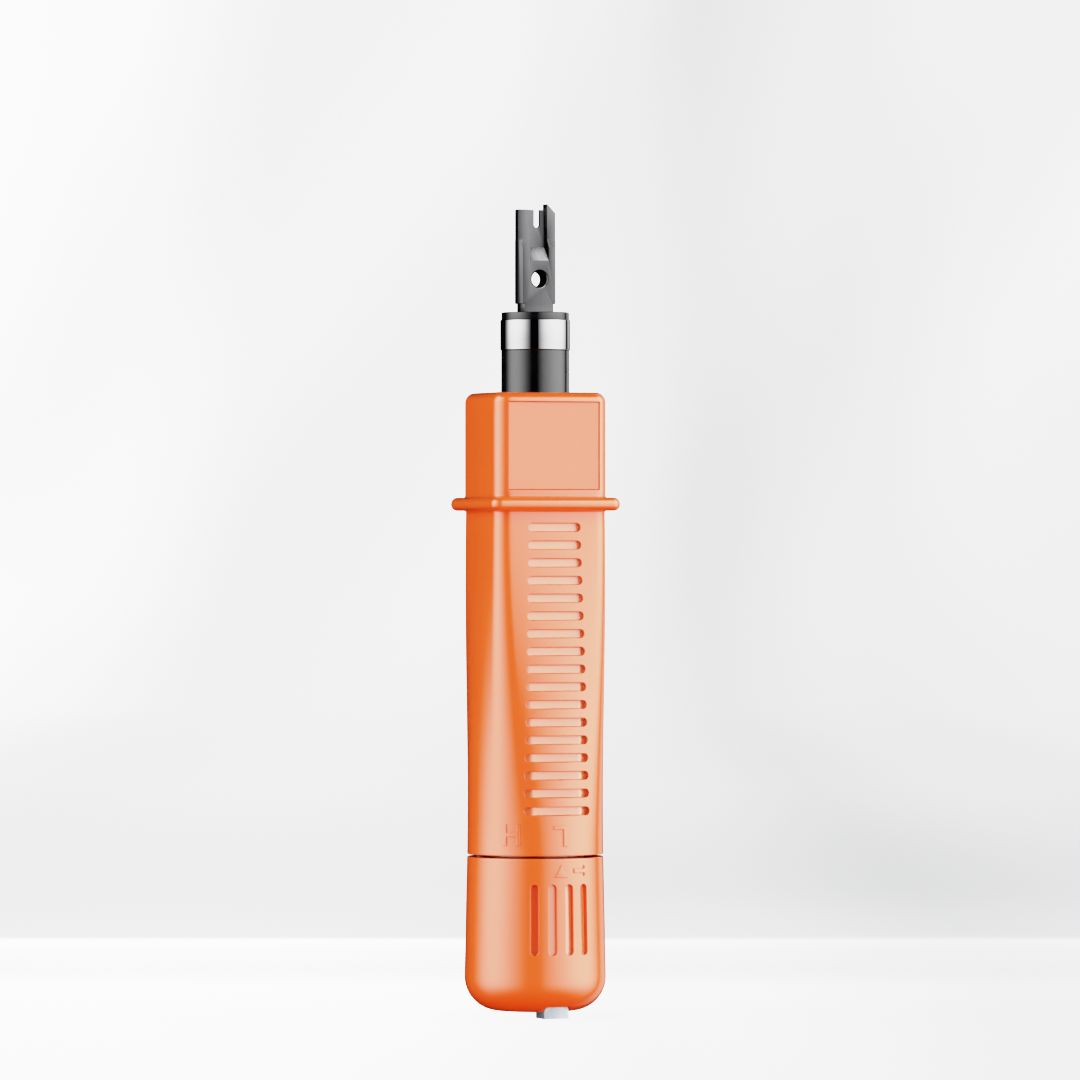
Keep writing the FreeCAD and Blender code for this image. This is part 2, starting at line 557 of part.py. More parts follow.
cam_base = turned("cam_base", [(0, deck_hi), (7.5, deck_hi), (7.5, 26.4), (6.35, 26.4), (6.35, 27.4), (4.9, 27.4),
                               (4.9, 26.4), (0, 26.4)])
ramps = []
for k, ang in enumerate((90.0 + 20.0, 270.0 + 20.0)):
    ramps.append(ramp("cam_ramp_%d" % k, ang, 4.9, 6.35, 33.0, 27.0, 30.3 - 0.25 + 1.0, slope))
cam_form = fuse("cam_form", cam_base, *ramps)
cam_tap = cyl("cam_tap", 1.5, deck_hi - 1.0, 25.6)
node(cut("cam_solid", cam_form, cam_tap), "dial_cam")

screw = turned("screw_turn", [(0, deck_lo - 1.8), (2.7, deck_lo - 1.8), (2.7, deck_lo), (1.5, deck_lo), (1.5, 25.2), (0, 25.2)])
screw_slot = box("screw_slot", -3.0, 3.0, -0.4, 0.4, deck_lo - 2.5, deck_lo - 0.9)
node(cut("screw_solid", screw, screw_slot), "cam_screw")

# ---------------------------------------------------------------------- cap
cap_raw = turned("cap_turn", [(0, dome_z), (cap_rad, dome_z + 0.6), (seam_rad, cap_top), (0, cap_top)])
doc.recompute()
cap_turned = cap_raw.Tip
cap_fil = cap_raw.newObject("PartDesign::Fillet", "cap_dome")
kn = []
for i, e in enumerate(cap_turned.Shape.Edges):
    bb = e.BoundBox
    if bb.ZMax - bb.ZMin < 0.01 and abs(bb.ZMin - (sheet.dome_z + 0.6)) < 0.01 and bb.XMax > 10:
        kn.append("Edge%d" % (i + 1))
cap_fil.Base = (cap_turned, kn)
cap_fil.setExpression("Radius", knuckle.text)
cap_raw.Tip = cap_fil
cap_hollow = cyl("cap_hollow", core_out, core_floor, cap_top + 1.0)

grooves = []
for i, a in enumerate((-22.5, -7.5, 7.5, 22.5)):
    parts = []
    ca, sa = math.cos(math.radians(a)), math.sin(math.radians(a))
    rot = Rotation(Vector(0, 0, 1), a)
    o = doc.addObject("Part::Box", "groove_bar_%d" % i)
    o.Length, o.Width, o.Height = 1.8, 6.0, 28.0 - 14.7
    o.Placement = Placement(rot.multVec(Vector(-0.9, -20.0, 0)) + Vector(0, 0, 14.7), rot)
    parts.append(o)
    for z in (14.7, 28.0):
        c = doc.addObject("Part::Cylinder", "groove_end_%d_%d" % (i, int(z)))
        c.Radius, c.Height = 0.9, 6.0
        c.Placement = Placement(rot.multVec(Vector(0, -20.0, 0)) + Vector(0, 0, z), Rotation(Vector(0, 0, 1), Vector(-sa, ca, 0)))
        parts.append(c)
    grooves.append(fuse("groove_%d" % i, *parts))
groove_floor = doc.addObject("Part::Cone", "groove_floor")
groove_floor.Radius1, groove_floor.Radius2, groove_floor.Height = 14.2, 13.65, 20.0
groove_floor.Placement = Placement(Vector(0, 0, 11.5), Rotation())
groove_cut = cut("groove_cutter", fuse("groove_bars", *grooves), groove_floor)

# raised triangle and arrow
cap_marks = []
tri = Part.Face(Part.makePolygon([Vector(0, -18, 33.0), Vector(-1.35, -18, 30.45), Vector(1.35, -18, 30.45), Vector(0, -18, 33.0)]))
cap_marks.append(feature("mark_triangle", tri.extrude(Vector(0, 8, 0))))
arrow_pts = [(-2.3, 31.35), (0.45, 31.35), (0.45, 30.7), (2.3, 31.8), (0.45, 32.9), (0.45, 32.25), (-2.3, 32.25)]
arr = Part.Face(Part.makePolygon([Vector(u, -18, z) for u, z in arrow_pts] + [Vector(arrow_pts[0][0], -18, arrow_pts[0][1])]))
arr = arr.extrude(Vector(0, 8, 0))
arr.rotate(Vector(0, 0, 0), Vector(0, 0, 1), 21.0)
cap_marks.append(feature("mark_arrow", arr))
cap_layer = doc.addObject("Part::Cone", "cap_mark_layer")
cap_layer.Radius1, cap_layer.Radius2, cap_layer.Height = 14.75 + 0.3, 14.6 + 0.3, 6.0
cap_layer.Placement = Placement(Vector(0, 0, 28.4), Rotation())
cap_mark_solid = common("cap_mark_solid", fuse("cap_mark_bars", *cap_marks), cap_layer)

tab_y0 = -1 * tab_front
slot_x0, slot_x1 = tab_x - 0.1, tab_x + tab_w + 0.1
slot_y0, slot_y1 = tab_y0 - 0.1, tab_y0 + tab_d + 0.1
tab_slot = box("cap_tab_slot", slot_x0, slot_x1, slot_y0, slot_y1, -1.0, core_floor + 1.0)
cap_form = fuse("cap_form", cap_raw, cap_mark_solid)
tab_notch = box("cap_tab_notch", slot_x0, slot_x1, -16.0, slot_y0 + 0.5, -1.0, 2.6)
node(cut("cap_solid", cap_form, cap_hollow, groove_cut, tab_slot, tab_notch), "end_cap")

# core: outer drum, deck with the cam pocket, spigot socket, guide box of the hook
drum = cyl("drum", core_out, core_floor, core_top)
hollow_low = cyl("hollow_low", core_out - 1.6, core_floor - 1.0, deck_lo)
guide_wall = box("guide_wall", slot_x0 - 1.4, slot_x1 + 1.4, -13.0, slot_y1 + 1.4, core_floor - 2.0, deck_lo)
low_cut = cut("low_cut", hollow_low, guide_wall)
spigot_socket = cyl("spigot_socket", spigot + run, 26.4, core_top + 1.0)
cam_pocket = cyl("cam_pocket", 7.5, deck_hi, 27.0)
screw_way = cyl("screw_way", 1.55, deck_lo - 1.0, deck_hi + 1.0)
core_snap = cyl("core_snap", 11.5, 29.4, 30.6)
hook_way = box("hook_way", slot_x0, slot_x1, slot_y0, slot_y1, core_floor - 1.0, 12.2)
strip_way = box("strip_way", -0.4, 2.0, -9.35, -8.05, 10.0, 26.5)


def arc_slot(name, rad, wide, a0, a1, z0, z1):
    ringsec = Part.makeCylinder(rad + wide, z1 - z0, Vector(0, 0, z0), Vector(0, 0, 1), a1 - a0)
    ringsec = ringsec.cut(Part.makeCylinder(rad - wide, z1 - z0, Vector(0, 0, z0)))
    ringsec.rotate(Vector(0, 0, 0), Vector(0, 0, 1), a0)
    ends = [Part.makeCylinder(wide, z1 - z0, Vector(rad * math.cos(math.radians(a)), rad * math.sin(math.radians(a)), z0))
            for a in (a0, a1)]
    return feature(name, ringsec.fuse(ends))


# the cap turns by -40 degrees about +Z from L to H: the tracks lead that way
ball_track = arc_slot("ball_track", sheet.detent_rad, 1.15, 90.0, 130.0, 25.4, 26.6)
stop_track = arc_slot("stop_track", sheet.detent_rad, 0.95, 180.0, 220.0, 24.2, 26.6)
leaf_seat = box("leaf_seat", tab_x - 0.5, tab_x, -9.4, -6.2, core_floor - 1.0, 11.0)
core = cut("core_solid", drum, leaf_seat, low_cut, spigot_socket, cam_pocket, screw_way, core_snap, hook_way, strip_way,
           ball_track, stop_track)
node(core, "cap_core")

snap2_o = cyl("snap2_o", 11.4, 29.5, 30.5)
snap2_i = cyl("snap2_i", spigot - 0.3, 29.0, 31.0)
snap2_gap = box("snap2_gap", -2.0, 2.0, -13.0, -8.0, 29.0, 31.0)
node(cut("snap2", snap2_o, snap2_i, snap2_gap), "cap_retaining_ring")

dball = doc.addObject("Part::Sphere", "dial_ball_solid")
dball.Radius = 0.94
dball.Placement = Placement(Vector(0, 9.25, 26.55), Rotation())
node(dball, "dial_detent_ball")
dcoil = coil("dial_coil", 0.68, 0.15, 27.6, 32.9, 8.0)
doc.recompute()
dmove = feature("dial_coil_placed", dcoil.Shape)
dmove.Placement = Placement(Vector(0, 9.25, 0), Rotation())
node(dmove, "dial_detent_spring")
node(cyl("stop_pin_solid", 0.75, 24.6, 31.5, -1 * detent_rad, 0.0), "dial_stop_pin")

# --------------------------------------------------------------------- hook
tab_raw = box("tab_block", tab_x, tab_x + tab_w, tab_y0, tab_y0 + tab_d, 0.0, tab_h)
tab_slit = box("tab_slit", 0.0, 1.6, -9.2, -8.2, 5.0, 11.0)
rivet_hole = lying("rivet_hole", 0.6, 6.0, (0.8, -10.8, 7.5), (0, 1, 0))
node(cut("tab_solid", tab_raw, tab_slit, rivet_hole), "hook_tab")
strip = box("strip_bar", 0.0, 1.6, -9.2, -8.2, 5.0, 26.0)
barb = box("strip_barb", 0.7, 2.0, -10.0, -7.0, 22.6, 24.0)
rivet_hole2 = lying("rivet_hole2", 0.6, 6.0, (0.8, -10.8, 7.5), (0, 1, 0))
node(cut("strip", strip, barb, rivet_hole2), "wire_hook")
leaf_flat = box("leaf_flat", tab_x - 0.5, tab_x - 0.2, -9.2, -6.4, core_floor, 11.0)
leaf_bow = doc.addObject("Part::Cylinder", "leaf_bow")
leaf_bow.Radius, leaf_bow.Height = 3.0, 2.8
leaf_bow.Placement = Placement(Vector(-2.0 - 3.03, -6.4, 7.6), Rotation(Vector(0, 0, 1), Vector(0, -1, 0)))
leaf_keep2 = box("leaf_keep2", tab_x - 0.35, tab_x, -9.2, -6.4, 5.0, 10.5)
node(fuse("leaf_solid", leaf_flat, common("leaf_bump", leaf_bow, leaf_keep2)), "hook_leaf_spring")
node(lying("rivet_solid", 0.6, 4.6, (0.8, -10.1, 7.5), (0, 1, 0)), "hook_rivet")

doc.recompute()

# --------------------------------------------------------------- check, write
bad = [o.Name for o in doc.Objects if "Invalid" in o.State or "Error" in o.State]
if bad:
    raise RuntimeError("failed objects: " + ", ".join(bad))
for label, obj in NODES:
    s = obj.Shape
    if s.isNull() or not s.isValid():
        raise RuntimeError("bad shape: " + label)
    print("%-24s solids %d  volume %9.2f  z %7.2f..%7.2f" % (label, len(s.Solids), s.Volume, s.BoundBox.ZMin, s.BoundBox.ZMax))
for label, obj in NODES:
    obj.Shape.exportStep("parts/" + label + ".step")
print("nodes", len(NODES))
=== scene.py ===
"""Visual model of the punch down tool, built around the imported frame. Metres, row frame."""

import json
import math

import bmesh
import bpy
import numpy as np
from mathutils import Matrix, Vector

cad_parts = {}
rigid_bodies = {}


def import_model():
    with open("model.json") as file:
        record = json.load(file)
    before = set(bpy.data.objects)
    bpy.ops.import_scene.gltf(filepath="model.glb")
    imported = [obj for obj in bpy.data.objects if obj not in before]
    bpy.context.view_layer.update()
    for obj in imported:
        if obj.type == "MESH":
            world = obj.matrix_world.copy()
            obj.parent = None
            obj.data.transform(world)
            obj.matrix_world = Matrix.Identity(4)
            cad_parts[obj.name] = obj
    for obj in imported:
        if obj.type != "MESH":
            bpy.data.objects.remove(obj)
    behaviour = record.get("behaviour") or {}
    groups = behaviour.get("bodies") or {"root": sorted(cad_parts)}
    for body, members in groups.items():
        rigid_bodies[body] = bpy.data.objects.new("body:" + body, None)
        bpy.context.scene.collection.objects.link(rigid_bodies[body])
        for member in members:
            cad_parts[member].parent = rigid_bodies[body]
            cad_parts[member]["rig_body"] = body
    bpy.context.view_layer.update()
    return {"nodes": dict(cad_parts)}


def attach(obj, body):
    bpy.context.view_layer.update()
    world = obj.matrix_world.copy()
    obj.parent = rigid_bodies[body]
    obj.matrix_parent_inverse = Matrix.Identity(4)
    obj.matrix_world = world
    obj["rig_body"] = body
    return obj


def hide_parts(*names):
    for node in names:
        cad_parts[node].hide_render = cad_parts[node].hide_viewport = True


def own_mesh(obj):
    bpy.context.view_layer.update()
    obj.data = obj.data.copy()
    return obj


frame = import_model()
MM = 0.001
PI = math.pi
scene = bpy.context.scene


# ------------------------------------------------------------------ mesh kit
class Mesh:
    """Collects points in millimetres and faces, then makes an object in metres."""

    def __init__(self):
        self.v, self.f, self.mark = [], [], {}

    def point(self, p, mark=0.0):
        self.v.append((float(p[0]), float(p[1]), float(p[2])))
        if mark:
            self.mark[len(self.v) - 1] = mark
        return len(self.v) - 1

    def row(self, pts, mark=0.0):
        return [self.point(p, mark) for p in pts]

    def quad(self, *ids):
        ids = [a for i, a in enumerate(ids) if a != ids[i - 1]]
        if len(set(ids)) >= 3:
            self.f.append(tuple(ids))

    def band(self, a, b, closed=True):
        n = len(a)
        for i in range(n if closed else n - 1):
            j = (i + 1) % n
            self.quad(a[i], a[j], b[j], b[i])

    def make(self, name, mats, body, slot, replaces=(), sharp=None, weld=0.002):
        me = bpy.data.meshes.new(name)
        me.from_pydata([(x * MM, y * MM, z * MM) for x, y, z in self.v], [], self.f)
        wear = np.zeros(len(self.v), np.float32)
        for i, m in self.mark.items():
            wear[i] = m
        a = me.attributes.new("wear", "FLOAT", "POINT")
        a.data.foreach_set("value", wear)
        bm = bmesh.new()
        bm.from_mesh(me)
        bmesh.ops.remove_doubles(bm, verts=bm.verts, dist=weld * MM)
        bmesh.ops.dissolve_degenerate(bm, edges=bm.edges, dist=1e-7)
        bmesh.ops.recalc_face_normals(bm, faces=bm.faces)
        loose = [v for v in bm.verts if not v.link_faces]
        bmesh.ops.delete(bm, geom=loose, context="VERTS")
        bm.to_mesh(me)
        bm.free()
        me.shade_smooth()
        if sharp:
            me.set_sharp_from_angle(angle=math.radians(sharp))
        return piece(name, me, mats, body, replaces)


def piece(name, me, mats, body, replaces=()):
    ob = bpy.data.objects.new(name, me)
    scene.collection.objects.link(ob)
    for m in (mats if isinstance(mats, (list, tuple)) else [mats]):
        me.materials.append(m)
    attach(ob, body)
    if replaces:
        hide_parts(*replaces)
    return ob


def rounded(pts, radii, steps=5):
    """Open outline of (r, z) points with its inner corners turned into arcs; each point gets its wear value."""
    out = []
    n = len(pts)
    for i, p in enumerate(pts):
        rad = radii[i] if i < len(radii) else 0.0
        if i in (0, n - 1) or rad <= 0:
            out.append((p[0], p[1], 0.0))
            continue
        a, b, c = np.array(pts[i - 1][:2], float), np.array(p[:2], float), np.array(pts[i + 1][:2], float)
        u, w = (a - b) / np.linalg.norm(a - b), (c - b) / np.linalg.norm(c - b)
        ang = math.acos(max(-1.0, min(1.0, float(u @ w))))
        if ang > PI - 0.02:
            out.append((p[0], p[1], 0.0))
            continue
        reach = rad / math.tan(ang / 2)
        mid = (u + w) / np.linalg.norm(u + w)
        ctr = b + mid * rad / math.sin(ang / 2)
        s, e = b + u * reach - ctr, b + w * reach - ctr
        a0, a1 = math.atan2(s[1], s[0]), math.atan2(e[1], e[0])
        d = (a1 - a0 + PI) % (2 * PI) - PI
        for k in range(steps + 1):
            t = a0 + d * k / steps
            out.append((ctr[0] + rad * math.cos(t), ctr[1] + rad * math.sin(t), 1.0 if 0 < k < steps else 0.4))
    return out


def lathe(name, outline, mats, body, slot, replaces=(), n=128, closed=False, sharp=None):
    """Turned piece about Z from (r, z, wear) points; a closed outline makes a ring."""
    m = Mesh()
    rows = []
    for p in outline:
        r, z = p[0], p[1]
        w = p[2] if len(p) > 2 else 0.0
        if r < 1e-6:
            rows.append([m.point((0, 0, z))] * n)
        else:
            rows.append(m.row([(r * math.sin(2 * PI * k / n), -r * math.cos(2 * PI * k / n), z) for k in range(n)], w))
    for a, b in zip(rows, rows[1:]):
        m.band(a, b)
    if closed:
        m.band(rows[-1], rows[0])
    return m.make(name, mats, body, slot, replaces, sharp)


# -------------------------------------------------------------- node helpers
class Nodes:
    """A material's node tree with short calls."""

    def __init__(self, name):
        self.mat = bpy.data.materials.new(name)
        self.mat.use_nodes = True
        self.t = self.mat.node_tree
        self.t.nodes.clear()
        self.out = self.t.nodes.new("ShaderNodeOutputMaterial")
        self.bsdf = self.t.nodes.new("ShaderNodeBsdfPrincipled")
        self.link(self.bsdf.outputs[0], self.out.inputs[0])
        self.coord = self.t.nodes.new("ShaderNodeTexCoord").outputs["Object"]

    def link(self, a, b):
        self.t.links.new(a, b)

    def set(self, **kw):
        for k, v in kw.items():
            self.bsdf.inputs[k.replace("_", " ")].default_value = v

    def mapped(self, scale, source=None):
        n = self.t.nodes.new("ShaderNodeMapping")
        n.inputs["Scale"].default_value = scale if isinstance(scale, tuple) else (scale,) * 3
        self.link(source or self.coord, n.inputs["Vector"])
        return n.outputs[0]

    def noise(self, scale, detail=4.0, rough=0.55, source=None, distort=0.0):
        n = self.t.nodes.new("ShaderNodeTexNoise")
        n.inputs["Scale"].default_value = scale
        n.inputs["Detail"].default_value = detail
        n.inputs["Roughness"].default_value = rough
        n.inputs["Distortion"].default_value = distort
        self.link(source or self.coord, n.inputs["Vector"])
        return n.outputs["Fac"]

    def voronoi(self, scale, source=None):
        n = self.t.nodes.new("ShaderNodeTexVoronoi")
        n.inputs["Scale"].default_value = scale
        self.link(source or self.coord, n.inputs["Vector"])
        return n.outputs["Distance"]

    def ramp(self, value, lo, hi, a=0.0, b=1.0):
        n = self.t.nodes.new("ShaderNodeMapRange")
        n.inputs["From Min"].default_value = lo
        n.inputs["From Max"].default_value = hi
        n.inputs["To Min"].default_value = a
        n.inputs["To Max"].default_value = b
        self.link(value, n.inputs["Value"])
        return n.outputs[0]

    def math(self, op, a, b=None, clamp=False):
        n = self.t.nodes.new("ShaderNodeMath")
        n.operation = op
        n.use_clamp = clamp
        for i, x in enumerate((a, b)):
            if x is None:
                continue
            if isinstance(x, (int, float)):
                n.inputs[i].default_value = x
            else:
                self.link(x, n.inputs[i])
        return n.outputs[0]

    def mix(self, fac, a, b):
        n = self.t.nodes.new("ShaderNodeMix")
        n.data_type = "RGBA"
        for sock, x in ((n.inputs[0], fac), (n.inputs[6], a), (n.inputs[7], b)):
            if isinstance(x, (int, float)):
                sock.default_value = x
            elif isinstance(x, tuple):
                sock.default_value = (*x, 1.0)
            else:
                self.link(x, sock)
        return n.outputs[2]

    def bump(self, height, strength, distance, normal=None):
        n = self.t.nodes.new("ShaderNodeBump")
        n.inputs["Strength"].default_value = strength
        n.inputs["Distance"].default_value = distance
        self.link(height, n.inputs["Height"])
        if normal is not None:
            self.link(normal, n.inputs["Normal"])
        return n.outputs[0]

    def attr(self, name):
        n = self.t.nodes.new("ShaderNodeAttribute")
        n.attribute_name = name
        return n.outputs["Fac"]

    def to(self, socket, name):
        self.link(socket, self.bsdf.inputs[name])


def moulded_plastic(name, base, dark, worn, rough=0.3, coat_ior=2.0, coat=1.0, coat_rough=0.22, edge=0.35, spec=0.5):
    """Injection moulded plastic: even colour with slight flow streaks, fine skin texture and polished edges."""
    n = Nodes(name)
    streak = n.noise(1.0, 3.0, 0.5, n.mapped((90.0, 90.0, 16.0)))
    cloud = n.noise(55.0, 3.0, 0.5)
    speck = n.noise(5200.0, 2.0, 0.6)
    tone = n.mix(n.ramp(streak, 0.35, 0.65, 0.0, 0.55), base, dark)
    tone = n.mix(n.ramp(cloud, 0.4, 0.7, 0.0, 0.22), tone, worn)
    wear = n.math("MULTIPLY", n.attr("wear"), n.ramp(n.noise(700.0, 4.0, 0.6), 0.42, 0.72, 0.0, edge))
    tone = n.mix(n.math("MULTIPLY", wear, 1.0, True), tone, worn)
    n.to(tone, "Base Color")
    r = n.ramp(n.noise(130.0, 5.0, 0.6), 0.3, 0.7, rough - 0.035, rough + 0.05)
    r = n.math("SUBTRACT", r, n.math("MULTIPLY", wear, 0.12))
    scuff = n.noise(1.0, 2.0, 0.7, n.mapped((900.0, 900.0, 90.0)))
    r = n.math("ADD", r, n.ramp(scuff, 0.66, 0.8, 0.0, 0.06))
    n.to(r, "Roughness")
    nm = n.bump(speck, 0.16, 0.00002)
    nm = n.bump(n.noise(420.0, 2.0, 0.5), 0.04, 0.00008, nm)
    n.to(nm, "Normal")
    n.to(nm, "Coat Normal")
    n.set(IOR=1.5, Specular_IOR_Level=spec, Coat_Weight=coat, Coat_Roughness=coat_rough, Coat_IOR=coat_ior)
    return n.mat


def turned_metal(name, base, dark, rough, groove=0.12, pitch=(3.0, 3.0, 9000.0), aniso=0.25, metallic=1.0, edge=(0.75, 0.75, 0.76), edge_amount=0.5, coat=0.0):
    """Turned or ground metal: fine tool lines, faint staining and brighter rubbed edges."""
    n = Nodes(name)
    lines = n.noise(1.0, 2.0, 0.5, n.mapped(pitch))
    stain = n.noise(160.0, 5.0, 0.6)
    tone = n.mix(n.ramp(stain, 0.35, 0.7, 0.0, 0.8), base, dark)
    tone = n.mix(n.ramp(lines, 0.4, 0.62, 0.0, 0.25), tone, dark)
    wear = n.math("MULTIPLY", n.attr("wear"), n.ramp(n.noise(900.0, 4.0, 0.6), 0.35, 0.65, 0.15, edge_amount))
    tone = n.mix(wear, tone, edge)
    n.to(tone, "Base Color")
    r = n.ramp(stain, 0.3, 0.7, rough * 0.85, rough * 1.2)
    r = n.math("ADD", r, n.ramp(lines, 0.4, 0.7, 0.0, rough * 0.25))
    n.to(n.math("SUBTRACT", r, n.math("MULTIPLY", wear, rough * 0.2)), "Roughness")
    nm = n.bump(lines, groove, 0.00001)
    nm = n.bump(n.noise(2500.0, 3.0, 0.6), groove * 0.4, 0.00001, nm)
    n.to(nm, "Normal")
    n.set(Metallic=metallic, Anisotropic=aniso, Coat_Weight=coat)
    return n.mat


ORANGE = moulded_plastic("orange_moulding", (0.76, 0.142, 0.032), (0.72, 0.130, 0.027), (0.82, 0.172, 0.048), rough=0.4,
                         coat_ior=1.9, coat_rough=0.17, spec=0.1)
# lit copy of the orange: lighter base and stronger coat, a painted highlight on the recessed slot and groove floors in
# place of their brighter reflection
ORANGE_PAINTED_LIT = moulded_plastic("orange_moulding_painted_highlight", (0.80, 0.255, 0.105), (0.76, 0.235, 0.092), (0.84, 0.28, 0.12), rough=0.4,
                            coat_ior=2.15, coat_rough=0.2, spec=0.1)
BLACK = moulded_plastic("black_coating", (0.004, 0.004, 0.0045), (0.003, 0.003, 0.003), (0.03, 0.03, 0.032), rough=0.35,
                        coat_ior=1.68, coat_rough=0.13, edge=0.6, spec=0.05)
CHROME = turned_metal("chrome_plate", (0.36, 0.36, 0.37), (0.33, 0.33, 0.34), 0.025, groove=0.01, aniso=0.0, edge=(0.5, 0.5, 0.51), edge_amount=0.3)
BLADE = turned_metal("ground_blade_steel", (0.092, 0.092, 0.094), (0.080, 0.080, 0.082), 0.22, groove=0.06, pitch=(5200.0, 300.0, 120.0),
                     aniso=0.2, edge=(0.30, 0.30, 0.305), edge_amount=0.6)
TAB = turned_metal("tab_plate", (0.42, 0.45, 0.48), (0.36, 0.39, 0.42), 0.42, groove=0.1, pitch=(2600.0, 2600.0, 2600.0), aniso=0.0,
                   edge=(0.62, 0.64, 0.66), edge_amount=0.6)
STEEL = turned_metal("turned_steel", (0.48, 0.48, 0.49), (0.36, 0.36, 0.37), 0.28)
WIRE = turned_metal("drawn_spring_wire", (0.40, 0.41, 0.43), (0.26, 0.27, 0.28), 0.32, pitch=(900.0, 900.0, 900.0))
DARK = turned_metal("oiled_dark_steel", (0.14, 0.14, 0.15), (0.07, 0.07, 0.075), 0.34)
BRONZE = turned_metal("sintered_bronze", (0.55, 0.36, 0.16), (0.38, 0.24, 0.11), 0.42, pitch=(700.0, 700.0, 5000.0))
NYLON = moulded_plastic("black_nylon_moulding", (0.02, 0.02, 0.021), (0.014, 0.014, 0.015), (0.07, 0.07, 0.072), rough=0.5,
                        coat_ior=1.5, coat=0.2, coat_rough=0.4)


# ------------------------------------------------------------ handle section
def arcs(ax, ay, rc, th1, th2):
    s1, c1, s2, c2 = math.sin(th1), math.cos(th1), math.sin(th2), math.cos(th2)
    a11, a12, b1 = s1, 1 - s2, ax - rc * (s2 - s1)
    a21, a22, b2 = 1 - c1, c2, ay - rc * (c1 - c2)
    det = a11 * a22 - a12 * a21
    rf, rs = (b1 * a22 - a12 * b2) / det, (a11 * b2 - a21 * b1) / det
    return dict(rf=rf, rs=rs, fy=rf - ay, sx=ax - rs, kx=(rf - rc) * s1, ky=rf - ay - (rf - rc) * c1, rc=rc, th1=th1, th2=th2, ax=ax, ay=ay)


def grip_arcs(z):
    t = min(1.0, max(0.0, 1 - (z - 34.95) / (109.3 - 34.95)))
    full = 0.4 * math.sin(PI * t)
    return arcs(13.08 + 1.52 * t ** 1.4 + full, 11.0 + 3.6 * t ** 1.4 + full, 3.4 + 11.2 * t ** 2.0,
                math.radians(3.5 + 31.5 * t ** 1.3), math.radians(86.5 - 31.5 * t ** 1.3))


HEAD = arcs(13.17, 11.3, 3.4, math.radians(3.5), math.radians(86.5))
FLANGE = arcs(15.19, 13.9, 2.2, math.radians(3.5), math.radians(86.5))


def front_y(s, x, inset=0.0):
    """Depth of the front face at x (y is negative towards the front)."""
    x = abs(x)
    rf, rc = s["rf"] - inset, s["rc"] - inset
    if x <= rf * math.sin(s["th1"]):
        return s["fy"] - math.sqrt(max(0.0, rf * rf - x * x))
    if x <= s["kx"] + rc * math.sin(s["th2"]):
        return s["ky"] - math.sqrt(max(0.0, rc * rc - (x - s["kx"]) ** 2))
    return 0.0


def normal_at(s, x, inset=0.0):
    rf, rc = s["rf"] - inset, s["rc"] - inset
    if x <= rf * math.sin(s["th1"]):
        return math.asin(x / rf)
    return math.asin(max(-1.0, min(1.0, (x - s["kx"]) / rc)))


def around(s, x0, count, inset=0.0):
    """Section points from (x0, front) round the back to (-x0, front), count steps, closer together in the corners."""
    rf, rs, rc, t1, t2 = s["rf"] - inset, s["rs"] - inset, s["rc"] - inset, s["th1"], s["th2"]
    a0 = normal_at(s, x0, inset)
    spans = [(0, s["fy"], rf, 0.0, t1), (s["kx"], s["ky"], rc, t1, t2), (s["sx"], 0, rs, t2, PI - t2),
             (s["kx"], -s["ky"], rc, PI - t2, PI - t1), (0, -s["fy"], rf, PI - t1, PI + t1),
             (-s["kx"], -s["ky"], rc, PI + t1, PI + t2), (-s["sx"], 0, rs, PI + t2, 2 * PI - t2),
             (-s["kx"], s["ky"], rc, 2 * PI - t2, 2 * PI - t1), (0, s["fy"], rf, 2 * PI - t1, 2 * PI)]
    parts, total = [], 0.0
    for cx, cy, r, a, b in spans:
        a, b = max(a, a0), min(b, 2 * PI - a0)
        if b <= a + 1e-12:
            continue
        w = (r + 3.2) * (b - a)
        parts.append((total, total + w, cx, cy, r, a, b))
        total += w
    out = []
    for k in range(count + 1):
        q = total * k / count
        for w0, w1, cx, cy, r, a, b in parts:
            if q <= w1 or w1 == parts[-1][1]:
                ang = a + (b - a) * min(1.0, (q - w0) / (w1 - w0))
                out.append((cx + r * math.sin(ang), cy - r * math.cos(ang)))
                break
    return out


NX, NB = 48, 176           # steps across the front strip, and round the rest
SLOT_N, SLOT_Z, SLOT_PITCH = 17, 105.1, 3.787
SLOT_R, SLOT_DEEP = 0.89, 1.15
LIP, FOOT = 0.14, 0.12
GRIP_X = [8.25 * (2 * i / NX - 1) for i in range(NX + 1)]
e = 10.5
inner = 14
edge_lines = [e - 0.30, e - 0.20, e - 0.15, e - 0.11, e - 0.07, e - 0.03, e + 0.01, e + 0.05, e + 0.12, e + 0.3, 10.95]
HEAD_X = [(e - 0.30) * (i / inner) for i in range(inner)] + edge_lines
HEAD_X = [-x for x in reversed(HEAD_X[1:])] + HEAD_X
assert len(HEAD_X) == NX + 1


def front_row(s, xs, z, inset=0.0):
    return [(x, front_y(s, x, inset), z) for x in xs]


def ring_points(s, xs, z, inset=0.0):
    """Closed ring: front strip left to right, then round the back. Its first NX+1 points are the strip."""
    k = 1.0
    if inset:
        k = 1.0 - inset / s["ay"]
    xs = [x * k for x in xs]
    strip = front_row(s, xs, z, inset)
    rest = [(x, y, z) for x, y in around(s, xs[-1], NB, inset)][1:-1]
    return strip + rest


def lerp(a, b, t):
    return tuple(a[i] + (b[i] - a[i]) * t for i in range(len(a)))


